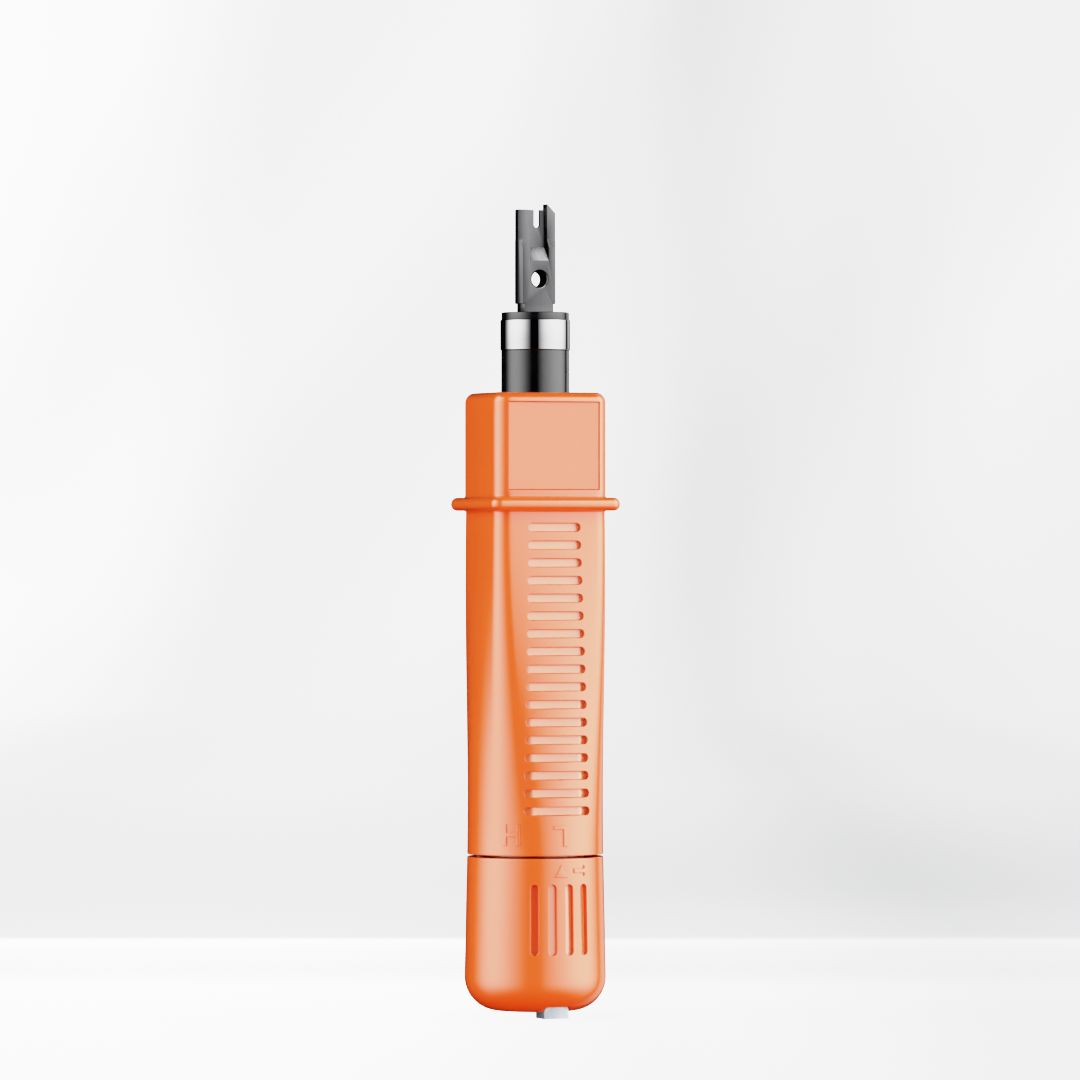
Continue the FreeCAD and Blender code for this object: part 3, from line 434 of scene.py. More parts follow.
def stadium(q, straight_u, straight_v, r, d, quadrant, wu=1.0, wa=3.2):
    """Point of a slot's outline grown by d, at share q of a quadrant from its bottom middle to its right middle."""
    la, lb, lc = straight_u * wu, PI / 2 * (r) * wa, straight_v * wu
    t = q * (la + lb + lc)
    rr = r + d
    if t <= la:
        p = (t / wu, -straight_v - rr)
    elif t <= la + lb:
        a = (t - la) / lb * PI / 2
        p = (straight_u + rr * math.sin(a), -straight_v - rr * math.cos(a))
    else:
        p = (straight_u + rr, -straight_v + (t - la - lb) / wu)
    sx, sy = {0: (1, 1), 1: (1, -1), 2: (-1, -1), 3: (-1, 1)}[quadrant]
    return (p[0] * sx, p[1] * sy)


def slot_cell(m, outer_ids, outer_uv, cu, cv, su, sv, r, deep, place, start, counts, near=0.35, floor_mark=None):
    """Fills the cell between outer_ids (ring, counter-clockwise from the bottom middle) with one round-ended slot.
    place(u, v, depth) gives the point. counts is not used."""
    n = len(outer_ids)
    qn = n // 4

    def outline(d, squeeze=1.0):
        pts = []
        for i in range(n):
            quad, k = divmod(i, qn)
            q = k / qn
            if quad in (1, 3):
                q = 1 - q
            qd = {0: 0, 1: 1, 2: 2, 3: 3}[quad]
            x, y = stadium(q, su, sv, r, d, qd)
            pts.append((cu + x, cv + y))
        return pts

    base = outline(near)
    prev = outer_ids
    for t in (0.5, 1.0):
        uv = [lerp(a, b, t) for a, b in zip(outer_uv, base)]
        ids = m.row([place(u, v, 0.0) for u, v in uv])
        m.band(prev, ids)
        prev = ids
    prof = [(LIP + 0.04, 0.0, 0.0)]
    for k in range(0, 6):
        a = PI / 2 * k / 5
        prof.append((LIP * (1 - math.sin(a)), LIP * (1 - math.cos(a)), 1.0 if 0 < k < 5 else 0.3))
    prof.append((0.0, deep * 0.5, 0.0))
    for k in range(0, 5):
        a = PI / 2 * k / 4
        prof.append((-FOOT * (1 - math.cos(a)), deep - FOOT * (1 - math.sin(a)), 0.0))
    prof.append((-0.3, deep, 0.0))
    prof.append((-0.6, deep, 0.0))
    for d, depth, w in prof:
        ids = m.row([place(u, v, depth) for u, v in outline(d)], w)
        m.band(prev, ids)
        prev = ids
    # close the floor: left and right halves of the last ring meet
    if sv == 0:   # horizontal slot: join bottom and top rows
        h = n // 2
        for i in range(-qn, qn):
            a, b = prev[i % n], prev[(i + 1) % n]
            c, d2 = prev[(h - i - 1) % n], prev[(h - i) % n]
            m.quad(a, b, c, d2)
    else:         # vertical slot: join left and right columns
        h = n // 2
        for i in range(0, h):
            a, b = prev[i], prev[i + 1]
            c, d2 = prev[(n - i - 1) % n], prev[(n - i) % n]
            m.quad(a, b, c, d2)


def slot_point(u, v, d):
    """A slot's wall goes straight back; its floor is the deeper of one parallel to the skin and a flat one."""
    s = grip_arcs(v)
    skin, par = front_y(s, u), front_y(s, u, SLOT_DEEP)
    t = min(1.0, max(0.0, (105.1 - v) / 60.6))
    flat = -(s["ay"] - 1.32 - 0.85 * t ** 1.2)
    floor = max(par, flat)
    return (u, skin + (floor - skin) * d / SLOT_DEEP, v)


def build_handle():
    m = Mesh()
    ring = {}

    def add(key, s, xs, z, inset=0.0, w=0.0, pts=None):
        ids = m.row(pts or ring_points(s, xs, z, inset), w)
        ring[key] = ids
        return ids

    strip_open = set()
    order = []
    # seam end and its small lead-in radius
    r0 = 0.22
    g0 = grip_arcs(34.95)
    for k in range(0, 6):
        a = PI / 2 * k / 5
        z = 34.95 + r0 * (1 - math.cos(a))
        add(("seam", k), grip_arcs(z), GRIP_X, z, r0 * (1 - math.sin(a)), 1.0 if k < 5 else 0.3)
        order.append(("seam", k))
    z = 35.5
    lowest = SLOT_Z - (SLOT_N - 1) * SLOT_PITCH - SLOT_PITCH / 2
    while z < lowest - 0.2:
        add(("low", round(z, 3)), grip_arcs(z), GRIP_X, z)
        order.append(("low", round(z, 3)))
        z += 0.62
    zc = 8
    # slot cells: rows round the outside at every station, the strip filled cell by cell
    for c in range(SLOT_N):
        zb = lowest + c * SLOT_PITCH
        for k in range(zc):
            z = zb + SLOT_PITCH * k / zc
            s = grip_arcs(z)
            if k == 0:
                add(("cell", c, k), s, GRIP_X, z)
            else:
                side = [(GRIP_X[0], front_y(s, GRIP_X[0]), z)] + [(GRIP_X[-1], front_y(s, GRIP_X[-1]), z)]
                rest = [(x, y, z) for x, y in around(s, GRIP_X[-1], NB)][1:-1]
                left = m.point(side[0])
                right = m.point(side[1])
                ids = [left] + [None] * (NX - 1) + [right] + m.row(rest)
                ring[("cell", c, k)] = ids
            order.append(("cell", c, k))
    top = lowest + SLOT_N * SLOT_PITCH
    add(("cell", SLOT_N, 0), grip_arcs(top), GRIP_X, top)
    order.append(("cell", SLOT_N, 0))
    # under the flange, then out and round it
    blend_x = lambda t: [a + (b - a) * t for a, b in zip(GRIP_X, HEAD_X)]
    rows = []
    for z in (107.5, 107.9):
        rows.append((ring_points(grip_arcs(z), blend_x((z - top) / 3.0 * 0.6), z), 0.0))
    fr = 0.4
    lo, hi = 108.7, 111.5
    xs1 = blend_x(0.5)
    gi = grip_arcs(lo)
    p_in = ring_points(gi, xs1, lo)
    er = 1.36
    p_rim = ring_points(FLANGE, xs1, lo, er)

    def toward(a, b, dist):
        out = []
        for p, q in zip(a, b):
            v = np.array(q[:2]) - np.array(p[:2])
            n = np.linalg.norm(v)
            v = v / max(n, 1e-9) * min(dist, n * 0.8)
            out.append((p[0] + v[0], p[1] + v[1], p[2]))
        return out

    for k in range(0, 6):
        a = PI / 2 * k / 5
        z = lo - fr * (1 - math.sin(a))
        pts = toward(ring_points(grip_arcs(z), xs1, z), [(q[0], q[1], z) for q in p_rim], fr * (1 - math.cos(a)))
        rows.append((pts, 0.0))
    rows.append(([lerp(a, b, 0.6) for a, b in zip(rows[-1][0], p_rim)], 0.0))
    steps = 9
    for k in range(steps + 1):
        a = PI / 2 * k / steps
        z = lo + er * (1 - math.cos(a))
        rows.append((ring_points(FLANGE, xs1, z, er * (1 - math.sin(a))), 0.6 if k > 4 else 0.2))
    for k in range(steps + 1):
        a = PI / 2 * k / steps
        z = hi - er * (1 - math.sin(a))
        rows.append((ring_points(FLANGE, xs1, z, er * (1 - math.cos(a))), 0.6 if k < 5 else 0.2))
    p_rim2 = [(p[0], p[1], hi) for p in ring_points(FLANGE, xs1, hi, er)]
    up = []
    for k in range(0, 6):
        a = PI / 2 * k / 5
        z = hi + fr * (1 - math.sin(a))
        up.append((toward(ring_points(HEAD, xs1, z), [(q[0], q[1], z) for q in p_rim2], fr * (1 - math.cos(a))), 0.0))
    rows.append(([lerp(a, b, 0.6) for a, b in zip([(p[0], p[1], hi) for p in up[-1][0]], p_rim2)], 0.0))
    rows += list(reversed(up))
    # head with its label recess
    z_lo, z_hi, floor_y = 113.1, 132.0, -10.67

    def recess(sd):
        """(share of the way to the floor, hairline groove) at a signed distance outside the recess edge"""
        if sd > 0.09:
            return 0.0, 0.0
        if sd > 0.03:
            return 0.04, 0.0
        if sd > -0.01:
            return 0.12, 0.0
        g = {True: 0.0}
        if sd > -0.05:
            return 1.0, 0.10
        if sd > -0.09:
            return 1.0, 0.16
        if sd > -0.13:
            return 1.0, 0.10
        if sd > -0.17:
            return 1.0, 0.0
        return 1.0, 0.0

    def head_row(z, t):
        xs = [a + (b - a) * t for a, b in zip(xs1, HEAD_X)]
        pts = ring_points(HEAD, xs, z)
        w = []
        for i, p in enumerate(pts):
            wear = 0.0
            if i <= NX:
                sd = max(abs(p[0]) - e, z_lo - z, z - z_hi)
                b, g = recess(sd)
                if t > 0.99 and b > 0:
                    y = p[1] + (floor_y + g - p[1]) * b if b < 1 else floor_y + g
                    pts[i] = (p[0], y, z)
                    wear = 0.8 if 0 < b < 0.5 else 0.0
                elif abs(sd) < 0.2:
                    wear = 0.5
            w.append(wear)
        return pts, w

    for z in (112.15, 112.4, 112.6):
        t = (z - 111.9) / 0.7
        pts, w = head_row(z, min(t, 1.0))
        rows.append((pts, w))
    offs = [-0.3, -0.12, -0.05, -0.01, 0.03, 0.07, 0.11, 0.15, 0.20, 0.30]
    zs = [z_lo + o for o in offs]
    zs += list(np.linspace(z_lo + 0.9, z_hi - 0.9, 28))
    zs += [z_hi - o for o in reversed(offs[1:])]
    # rim radius begins before the recess ends; the face stays a height field
    er2 = 2.1
    body_top = 134.0
    for z in zs:
        if z <= body_top - er2:
            rows.append(head_row(z, 1.0))
    rim_z = [z for z in zs if z > body_top - er2]
    for z in rim_z:
        c = (z - (body_top - er2)) / er2
        ins = er2 * (1 - math.sqrt(max(0.0, 1 - c * c)))
        pts, w = head_row(z, 1.0)
        base = ring_points(HEAD, HEAD_X, z, ins)
        new = []
        for i, p in enumerate(pts):
            if i <= NX and p[1] > base[i][1] + 0.03:
                new.append((base[i][0], p[1], z))
            else:
                new.append(base[i])
        rows.append((new, w))
    start = math.asin(min(1.0, max(0.0, (max(rim_z + [body_top - er2]) + 0.12 - (body_top - er2)) / er2)))
    for k in range(0, 11):
        a = start + (PI / 2 - start) * k / 10
        z = body_top - er2 + er2 * math.sin(a)
        rows.append((ring_points(HEAD, HEAD_X, z, er2 * (1 - math.cos(a))), 0.25))
    for i, (pts, w) in enumerate(rows):
        if isinstance(w, list):
            ids = [m.point(p, x) for p, x in zip(pts, w)]
        else:
            ids = m.row(pts, w)
        ring[("up", i)] = ids
        order.append(("up", i))
    # top face in to the mouth, then the bores and the spigot back to the seam
    last = rows[-1][0]

    def circle(r, z):
        out = []
        for p in last:
            a = math.atan2(p[0], -p[1])
            out.append((r * math.sin(a), -r * math.cos(a), z))
        return out

    tail = []
    c0 = circle(7.95, body_top)
    for t in (0.35, 0.7, 1.0):
        tail.append(([lerp(a, b, t) for a, b in zip(last, c0)], 0.0))
    for k in range(1, 5):
        a = PI / 2 * k / 4
        tail.append((circle(7.65 + 0.3 * (1 - math.sin(a)), body_top - 0.3 * (1 - math.cos(a))), 0.7))
    for r, z in ((7.65, 132.9), (8.3, 132.9), (8.3, 125.0), (7.75, 125.0), (7.75, 108.0), (8.0, 108.0), (8.0, 27.0),
                 (10.3, 27.0), (10.6, 27.3), (10.6, 34.95)):
        tail.append((circle(r, z), 0.2))
    for i, (pts, w) in enumerate(tail):
        ring[("in", i)] = m.row(pts, w)
        order.append(("in", i))
    order.append(("seam", 0))
    n = NX + NB
    for a, b in zip(order, order[1:]):
        ra, rb = ring[a], ring[b]
        cell = a[0] == "cell" and not (a[1] == SLOT_N)
        if not cell:
            m.band(ra, rb)
        else:
            for i in range(NX, n):
                j = (i + 1) % n
                m.quad(ra[i], ra[j], rb[j], rb[i])
    # the slots, each in its own cell
    for c in range(SLOT_N):
        i = SLOT_N - 1 - c                       # slot number from the flange down
        keys = [("cell", c, k) for k in range(zc)] + [("cell", c + 1, 0)]
        r_ = [ring[k] for k in keys]
        mid = NX // 2
        ids = r_[0][mid:NX + 1] + [r_[k][NX] for k in range(1, zc)] + list(reversed(r_[-1][:NX + 1])) \
            + [r_[k][0] for k in range(zc - 1, 0, -1)] + r_[0][0:mid]
        uv = [(m.v[k][0], m.v[k][2]) for k in ids]
        hw = 5.95 + 0.097 * i
        slot_cell(m, ids, uv, 0.0, SLOT_Z - i * SLOT_PITCH, hw - SLOT_R, 0.0, SLOT_R, SLOT_DEEP,
                  slot_point, 0, None)
    return m


handle = build_handle().make("handle_shell", [ORANGE, ORANGE_PAINTED_LIT], "handle", "orange_plastic", ["handle_body"], sharp=50)


def paint_lit_floors(ob, inside):
    """Give the second material, the lighter orange that paints a highlight on recessed floors, to the faces whose
    middle passes the test (in millimetres).
    """
    for poly in ob.data.polygons:
        x, y, z = (c / MM for c in poly.center)
        if inside(x, y, z):
            poly.material_index = 1


# the handle's slot floors get the lighter orange: painted highlight
paint_lit_floors(handle, lambda x, y, z: abs(x) < 9.2 and 36 < z < 108 and -12.6 < y < -8.6 and y > front_y(grip_arcs(z), x) + 0.85)


# ----------------------------------------------------------------- the cap
CAP_PTS = rounded([(0.0, 1.05), (15.34, 1.65), (14.62, 34.45), (12.6, 34.45)], [0, 7.3, 0.22, 0], 22)


def cap_profile():
    """Outside of the cap from its rim down to the middle of the dome, as (r, z)."""
    pts = [(p[0], p[1]) for p in CAP_PTS]
    pts = pts[::-1]
    return [p for p in pts if p[0] >= 0]


def cap_r(z):
    """Wall radius at a height above the dome's corner."""
    return 15.34 + (14.62 - 15.34) * (z - 1.65) / (34.45 - 1.65)


def build_cap():
    m = Mesh()
    A0, A1, NA = -30.0, 30.0, 64               # groove zone, 16 steps to a groove
    NR = 200
    angs = [math.radians(A0 + (A1 - A0) * k / NA) for k in range(NA + 1)]
    angs += [math.radians(A1 + (360 - A1 + A0) * k / NR) for k in range(1, NR)]
    n = len(angs)

    def circle(r, z):
        return [(r * math.sin(a), -r * math.cos(a), z) for a in angs]

    rows, order = {}, []

    def add(key, r, z, w=0.0):
        rows[key] = m.row(circle(r, z), w)
        order.append(key)

    rim = rounded([(12.6, 34.45), (14.62, 34.45), (15.0, 18.4)], [0, 0.22, 0], 6)
    add("bore", 12.6, 34.0)
    add("bore2", 12.75, 34.45, 0.3)
    for k, p in enumerate(rim[1:-1]):
        add(("rim", k), p[0], p[1], p[2])
    top, bot = 30.2, 12.4
    z = 33.9
    while z > top + 0.3:
        add(("u", round(z, 3)), cap_r(z), z)
        z -= 0.6
    zs = list(np.linspace(top, bot, 45))
    for k, z in enumerate(zs):
        if k in (0, len(zs) - 1):
            add(("g", k), cap_r(z), z)
        else:
            r = cap_r(z)
            ids = [None] * n
            for i, a in enumerate(angs):
                if i >= NA or i % 16 == 0:
                    ids[i] = m.point((r * math.sin(a), -r * math.cos(a), z))
            rows[("g", k)] = ids
            order.append(("g", k))
    z = bot - 0.5
    while z > 10.6:
        add(("d", round(z, 3)), cap_r(z), z)
        z -= 0.5
    corner = [p for p in reversed(CAP_PTS) if p[1] < 10.6 and p[0] > 0.01]
    for k, p in enumerate(corner):
        add(("c", k), p[0], p[1])
    last = corner[-1]
    for k, r in enumerate((6.5, 5.2, 3.9, 2.6, 1.3)):
        add(("b", k), r, 1.05 + 0.6 * r / 15.38)
    for a, b in zip(order, order[1:]):
        ra, rb = rows[a], rows[b]
        cell = a[0] == "g" and b[0] == "g"
        for i in range(n):
            if cell and i < NA:
                continue
            j = (i + 1) % n
            m.quad(ra[i], ra[j], rb[j], rb[i])
    # middle of the dome
    centre = m.point((0, 0, 1.05))
    lastrow = rows[order[-1]]
    for i in range(n):
        m.quad(lastrow[i], lastrow[(i + 1) % n], centre)
    # inside: bore down to its floor and in to the middle
    inside = [rows["bore"]]
    for r, z in ((12.6, 30.0), (12.6, 20.0), (12.6, 12.0), (12.6, 5.0), (12.0, 4.4), (6.0, 4.4)):
        inside.append(m.row(circle(r, z)))
    for a, b in zip(inside, inside[1:]):
        m.band(a, b)
    c2 = m.point((0, 0, 4.4))
    for i in range(n):
        m.quad(inside[-1][(i + 1) % n], inside[-1][i], c2)
    # grooves
    K = len(zs) - 1
    RB = 15.0

    def floor_r(z):
        return 14.2 + (13.65 - 14.2) * (z - 11.5) / 20.0

    for gidx in range(4):
        i0 = gidx * 16
        bottom = rows[("g", K)][i0:i0 + 17]
        top_r = rows[("g", 0)][i0:i0 + 17]
        right = [rows[("g", k)][i0 + 16] for k in range(K - 1, 0, -1)]
        left = [rows[("g", k)][i0] for k in range(1, K)]
        ids = bottom[8:] + right + list(reversed(top_r)) + left + bottom[:8]
        ac = math.radians(-22.5 + 15.0 * gidx)
        uv = []
        for k in ids:
            x, y, z = m.v[k]
            uv.append((math.atan2(x, -y) * RB, z))

        def place(u, v, d, ac=ac):
            a = u / RB
            r = cap_r(v)
            deep = r - floor_r(v)
            r -= deep * min(1.0, d / 1.3)
            return (r * math.sin(a), -r * math.cos(a), v)

        slot_cell(m, ids, uv, ac * RB, (14.7 + 28.0) / 2, 0.0, (28.0 - 14.7) / 2, 0.9, 1.3, place, 0, None, near=0.3)
    return m


cap_mesh = build_cap()
cap = cap_mesh.make("end_cap_shell", [ORANGE, ORANGE_PAINTED_LIT], "cap", "orange_plastic", ["end_cap"], sharp=50)
# the cap's groove floors get the lighter orange: painted highlight
paint_lit_floors(cap, lambda x, y, z: y < -11 and x > -3.6 and 10.6 < z < 29 and 13.0 < math.hypot(x, y) < cap_r(z) - 0.75)


def boolean_cut(ob, lo, hi, corner=0.35):
    """Cuts a rounded box opening (mm) out of a piece."""
    bm = bmesh.new()
    bmesh.ops.create_cube(bm, size=1.0)
    for v in bm.verts:
        v.co = Vector([lo[i] + (v.co[i] + 0.5) * (hi[i] - lo[i]) for i in range(3)]) * MM
    upright = [ed for ed in bm.edges if abs(ed.verts[0].co.z - ed.verts[1].co.z) > 1e-6]
    bmesh.ops.bevel(bm, geom=upright, offset=corner * MM, segments=5, profile=0.5, affect="EDGES")
    me = bpy.data.meshes.new("cutter")
    bm.to_mesh(me)
    bm.free()
    cutter = bpy.data.objects.new("cutter", me)
    scene.collection.objects.link(cutter)
    mod = ob.modifiers.new("opening", "BOOLEAN")
    mod.operation, mod.solver, mod.object = "DIFFERENCE", "EXACT", cutter
    dg = bpy.context.evaluated_depsgraph_get()
    new = bpy.data.meshes.new_from_object(ob.evaluated_get(dg))
    ob.modifiers.clear()
    old = ob.data
    ob.data = new
    bpy.data.objects.remove(cutter)
    bpy.data.meshes.remove(old)
    new.set_sharp_from_angle(angle=math.radians(50))


boolean_cut(cap, (-2.1, -10.3, -3.0), (3.7, -5.3, 6.0))
boolean_cut(cap, (-2.1, -16.0, -3.0), (3.7, -9.8, 2.6))

# ------------------------------------------------------------- raised marks
def skin_at(u, z, theta, h, on_cap):
    """Point h above the skin whose sideways distance is u in a frame turned by theta about Z."""
    if on_cap:
        r = cap_r(z)
        a = theta + math.asin(u / r)
        return ((r + h) * math.sin(a), -(r + h) * math.cos(a), z)
    s = grip_arcs(z)
    spans = [(0, s["fy"], s["rf"], -s["th1"], s["th1"]), (-s["kx"], s["ky"], s["rc"], -s["th2"], -s["th1"]),
             (-s["sx"], 0, s["rs"], s["th2"] - PI, -s["th2"]), (s["kx"], s["ky"], s["rc"], s["th1"], s["th2"])]
    best = None
    for cx, cy, r, a, b in spans:
        lo_a, hi_a = a, b
        f = lambda q: (cx + r * math.sin(q)) * math.cos(theta) + (cy - r * math.cos(q)) * math.sin(theta) - u
        if f(lo_a) > 1e-6 or f(hi_a) < -1e-6:
            continue
        for _ in range(40):
            mid_a = (lo_a + hi_a) / 2
            if f(mid_a) < 0:
                lo_a = mid_a
            else:
                hi_a = mid_a
        best = (cx + (r + h) * math.sin(lo_a), cy - (r + h) * math.cos(lo_a), z)
        break
    return best


def raised_mark(name, outlines, theta, on_cap, body, high=0.27):
    """Thin raised outlines: each closed (u, z) line becomes a low island with rounded edges."""
    bm = bmesh.new()
    layer = bm.verts.layers.float.new("wear")
    for poly in outlines:
        n0 = len(poly)
        area = sum(poly[i][0] * poly[(i + 1) % n0][1] - poly[(i + 1) % n0][0] * poly[i][1] for i in range(n0))
        if area < 0:
            poly = poly[::-1]

        def inset(d):
            out = []
            for i in range(n0):
                p, a, b = np.array(poly[i]), np.array(poly[i - 1]), np.array(poly[(i + 1) % n0])
                e1, e2 = (p - a) / np.linalg.norm(p - a), (b - p) / np.linalg.norm(b - p)
                n1, n2 = np.array([-e1[1], e1[0]]), np.array([-e2[1], e2[0]])
                k = (n1 + n2) / max(0.25, float(1 + n1 @ n2))
                out.append(tuple(p + k * d))
            return out

        def dense(pts):
            out = []
            for i, p in enumerate(pts):
                q = pts[(i + 1) % len(pts)]
                steps = max(1, int(math.dist(poly[i], poly[(i + 1) % n0]) / 0.3))
                out += [lerp(p, q, k / steps) for k in range(steps)]
            return out

        rings = []
        prof = [(-0.05, -0.25), (-0.05, -0.04), (-0.02, 0.03), (0.0, 0.09), (0.0, high - 0.09)]
        prof += [(0.09 * (1 - math.cos(a)), high - 0.09 * (1 - math.sin(a))) for a in (0.4, 0.8, 1.2, PI / 2)]
        for d, h in prof:
            ring = []
            for u, z in dense(inset(d)):
                v = bm.verts.new(Vector(skin_at(u, z, theta, h, on_cap)) * MM)
                v[layer] = 1.0 if h > high - 0.08 else 0.0
                ring.append(v)
            rings.append(ring)
        n = len(rings[0])
        for a, b in zip(rings, rings[1:]):
            for i in range(n):
                bm.faces.new((a[i], a[(i + 1) % n], b[(i + 1) % n], b[i]))
        for ring in (rings[0], rings[-1]):
            edges = [bm.edges.get((ring[i], ring[(i + 1) % n])) for i in range(n)]
            bmesh.ops.triangle_fill(bm, use_beauty=True, edges=edges)
    bmesh.ops.recalc_face_normals(bm, faces=bm.faces)
    me = bpy.data.meshes.new(name)
    bm.to_mesh(me)
    bm.free()
    me.shade_smooth()
    me.set_sharp_from_angle(angle=math.radians(40))
    return piece(name, me, [ORANGE], body)


raised_mark("grip_mark_low", [[(-1.5, 41.4), (-1.5, 40.65), (0.65, 40.65), (0.65, 37.05), (1.5, 37.05), (1.5, 41.4)]], 0.0, False, "handle")
raised_mark("grip_mark_high", [[(-1.85, 37.2), (-1.05, 37.2), (-1.05, 39.1), (1.05, 39.1), (1.05, 37.2), (1.85, 37.2), (1.85, 41.8), (1.05, 41.8),
                                (1.05, 39.9), (-1.05, 39.9), (-1.05, 41.8), (-1.85, 41.8)]], math.radians(-42.4), False, "handle")
raised_mark("dial_pointer", [[(0, 33.0), (-1.35, 30.45), (1.35, 30.45)]], 0.0, True, "cap")
raised_mark("dial_arrow", [[(-2.3, 31.35), (0.45, 31.35), (0.45, 30.7), (2.3, 31.8), (0.45, 32.9), (0.45, 32.25), (-2.3, 32.25)]],
            math.radians(21), True, "cap")

# ------------------------------------------------------------------ the nose
lathe("nose_sleeve_tube", rounded([(5.3, 121.5), (7.65, 121.5), (7.65, 124.95), (7.3, 124.95), (7.3, 143.15), (6.5, 143.2), (6.5, 149.7), (5.3, 149.7)],
                                  [0, 0.2, 0.15, 0.1, 0.12, 0, 0, 0], 4), [BLACK], "plunger", "black_sleeve", ["nose_sleeve"], n=160, closed=True, sharp=35)
lathe("nose_ring_band", rounded([(6.52, 146.0), (6.52, 143.2), (7.5, 143.2), (7.5, 149.7), (6.52, 149.7), (6.52, 146.0)],
                                [0, 0.05, 0.16, 0.16, 0.05, 0], 5), [CHROME], "plunger", "chrome_ring", ["nose_ring"], n=192, closed=True, sharp=60)
lathe("nose_lip_bezel", rounded([(4.07, 150.5), (4.07, 149.72), (7.25, 149.72), (7.25, 151.3), (4.07, 151.3), (4.07, 150.5)],
                                [0, 0, 0.08, 0.22, 0.16, 0], 5), [BLACK], "plunger", "black_sleeve", ["nose_lip"], n=160, closed=True, sharp=60)


# --------------------------------------------------- pieces bevelled from CAD
def softened(node, name, mats, width, segments=3, angle=28, dissolve=3.0):
    """A copy of a CAD node with clean flats and rounded edges."""
    src = frame["nodes"][node]
    bm = bmesh.new()
    bm.from_mesh(src.data)
    bmesh.ops.remove_doubles(bm, verts=bm.verts, dist=2e-6)
    bmesh.ops.dissolve_limit(bm, angle_limit=math.radians(dissolve), verts=bm.verts, edges=bm.edges, delimit={"NORMAL"})
    me = bpy.data.meshes.new(name)
    bm.to_mesh(me)
    bm.free()
    ob = bpy.data.objects.new(name, me)
    scene.collection.objects.link(ob)
    mod = ob.modifiers.new("edges", "BEVEL")
    mod.width, mod.segments, mod.limit_method, mod.angle_limit = width * MM, segments, "ANGLE", math.radians(angle)
    mod.use_clamp_overlap, mod.harden_normals = True, False
    mod.miter_outer = "MITER_ARC"
    dg = bpy.context.evaluated_depsgraph_get()
    new = bpy.data.meshes.new_from_object(ob.evaluated_get(dg))
    bpy.data.objects.remove(ob)
    bpy.data.meshes.remove(me)
    new.name = name
    new.materials.clear()
    new.shade_smooth()
    new.set_sharp_from_angle(angle=math.radians(32))
    body = src["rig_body"]
    return piece(name, new, mats, body, [node])


softened("punch_blade", "insertion_blade", [BLADE], 0.05, 2)
softened("hook_tab", "pull_tab", [TAB], 0.16, 3)


# ---------------------------------------------------------- CAD nodes kept
def dress(node, mat):
    ob = frame["nodes"][node]
    for i in range(len(ob.material_slots)):
        ob.material_slots[i].link = "OBJECT"
        ob.material_slots[i].material = mat


INNER = {"front_bushing": BRONZE, "trip_cam_sleeve": STEEL, "return_spring_washer": STEEL, "return_spring": WIRE, "spring_tube": STEEL,
         "tube_retaining_ring": WIRE, "dial_detent_ball": STEEL, "dial_detent_spring": WIRE, "dial_stop_pin": STEEL, "blade_socket": DARK,
         "socket_pin": STEEL, "blade_detent_ball": STEEL, "blade_detent_clip": WIRE, "hammer": DARK, "slug_spring": WIRE, "trip_slug": DARK,
         "spring_seat": STEEL, "main_spring": WIRE, "cap_core": NYLON, "dial_cam": NYLON, "cam_screw": STEEL, "cap_retaining_ring": WIRE,
         "hook_leaf_spring": WIRE, "wire_hook": STEEL, "hook_rivet": STEEL}
for node, mat in INNER.items():
    dress(node, mat)


def pressed_spring(node, name, body):
    """Coil with its node's shape, as a piece of its own on the given body in place of the node."""
    src = frame["nodes"][node]
    me = src.data.copy()
    me.name = name
    me.transform(src.matrix_world)
    me.materials.clear()
    ob = piece(name, me, WIRE, body, (node,))
    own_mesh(ob)


pressed_spring("return_spring", "return_coil", "handle")
pressed_spring("main_spring", "main_coil", "seat")

# ---------------------------------------------------------- stage and lights
AZ = math.radians(-22.0)
CAM = np.array([math.sin(AZ), -math.cos(AZ), 0.0])
RIGHT = np.array([math.cos(AZ), math.sin(AZ), 0.0])


def toward_view(alpha, elev):
    """Unit vector at an azimuth to the right of the camera direction and an elevation, in degrees."""
    a, el = math.radians(alpha), math.radians(elev)
    d = CAM * math.cos(a) + RIGHT * math.sin(a)
    return d * math.cos(el) + np.array([0, 0, math.sin(el)])


def glow_material(name, strength, tint=(1.0, 1.0, 1.0)):
    mat = bpy.data.materials.new(name)
    mat.use_nodes = True
    t = mat.node_tree
    t.nodes.clear()
    out = t.nodes.new("ShaderNodeOutputMaterial")
    em = t.nodes.new("ShaderNodeEmission")
    at = t.nodes.new("ShaderNodeAttribute")
    at.attribute_name = "glow"
    mu = t.nodes.new("ShaderNodeMath")
    mu.operation = "MULTIPLY"
    mu.inputs[1].default_value = strength
    t.links.new(at.outputs["Fac"], mu.inputs[0])
    em.inputs["Color"].default_value = (*tint, 1)
    t.links.new(mu.outputs[0], em.inputs["Strength"])
    t.links.new(em.outputs[0], out.inputs[0])
    return mat


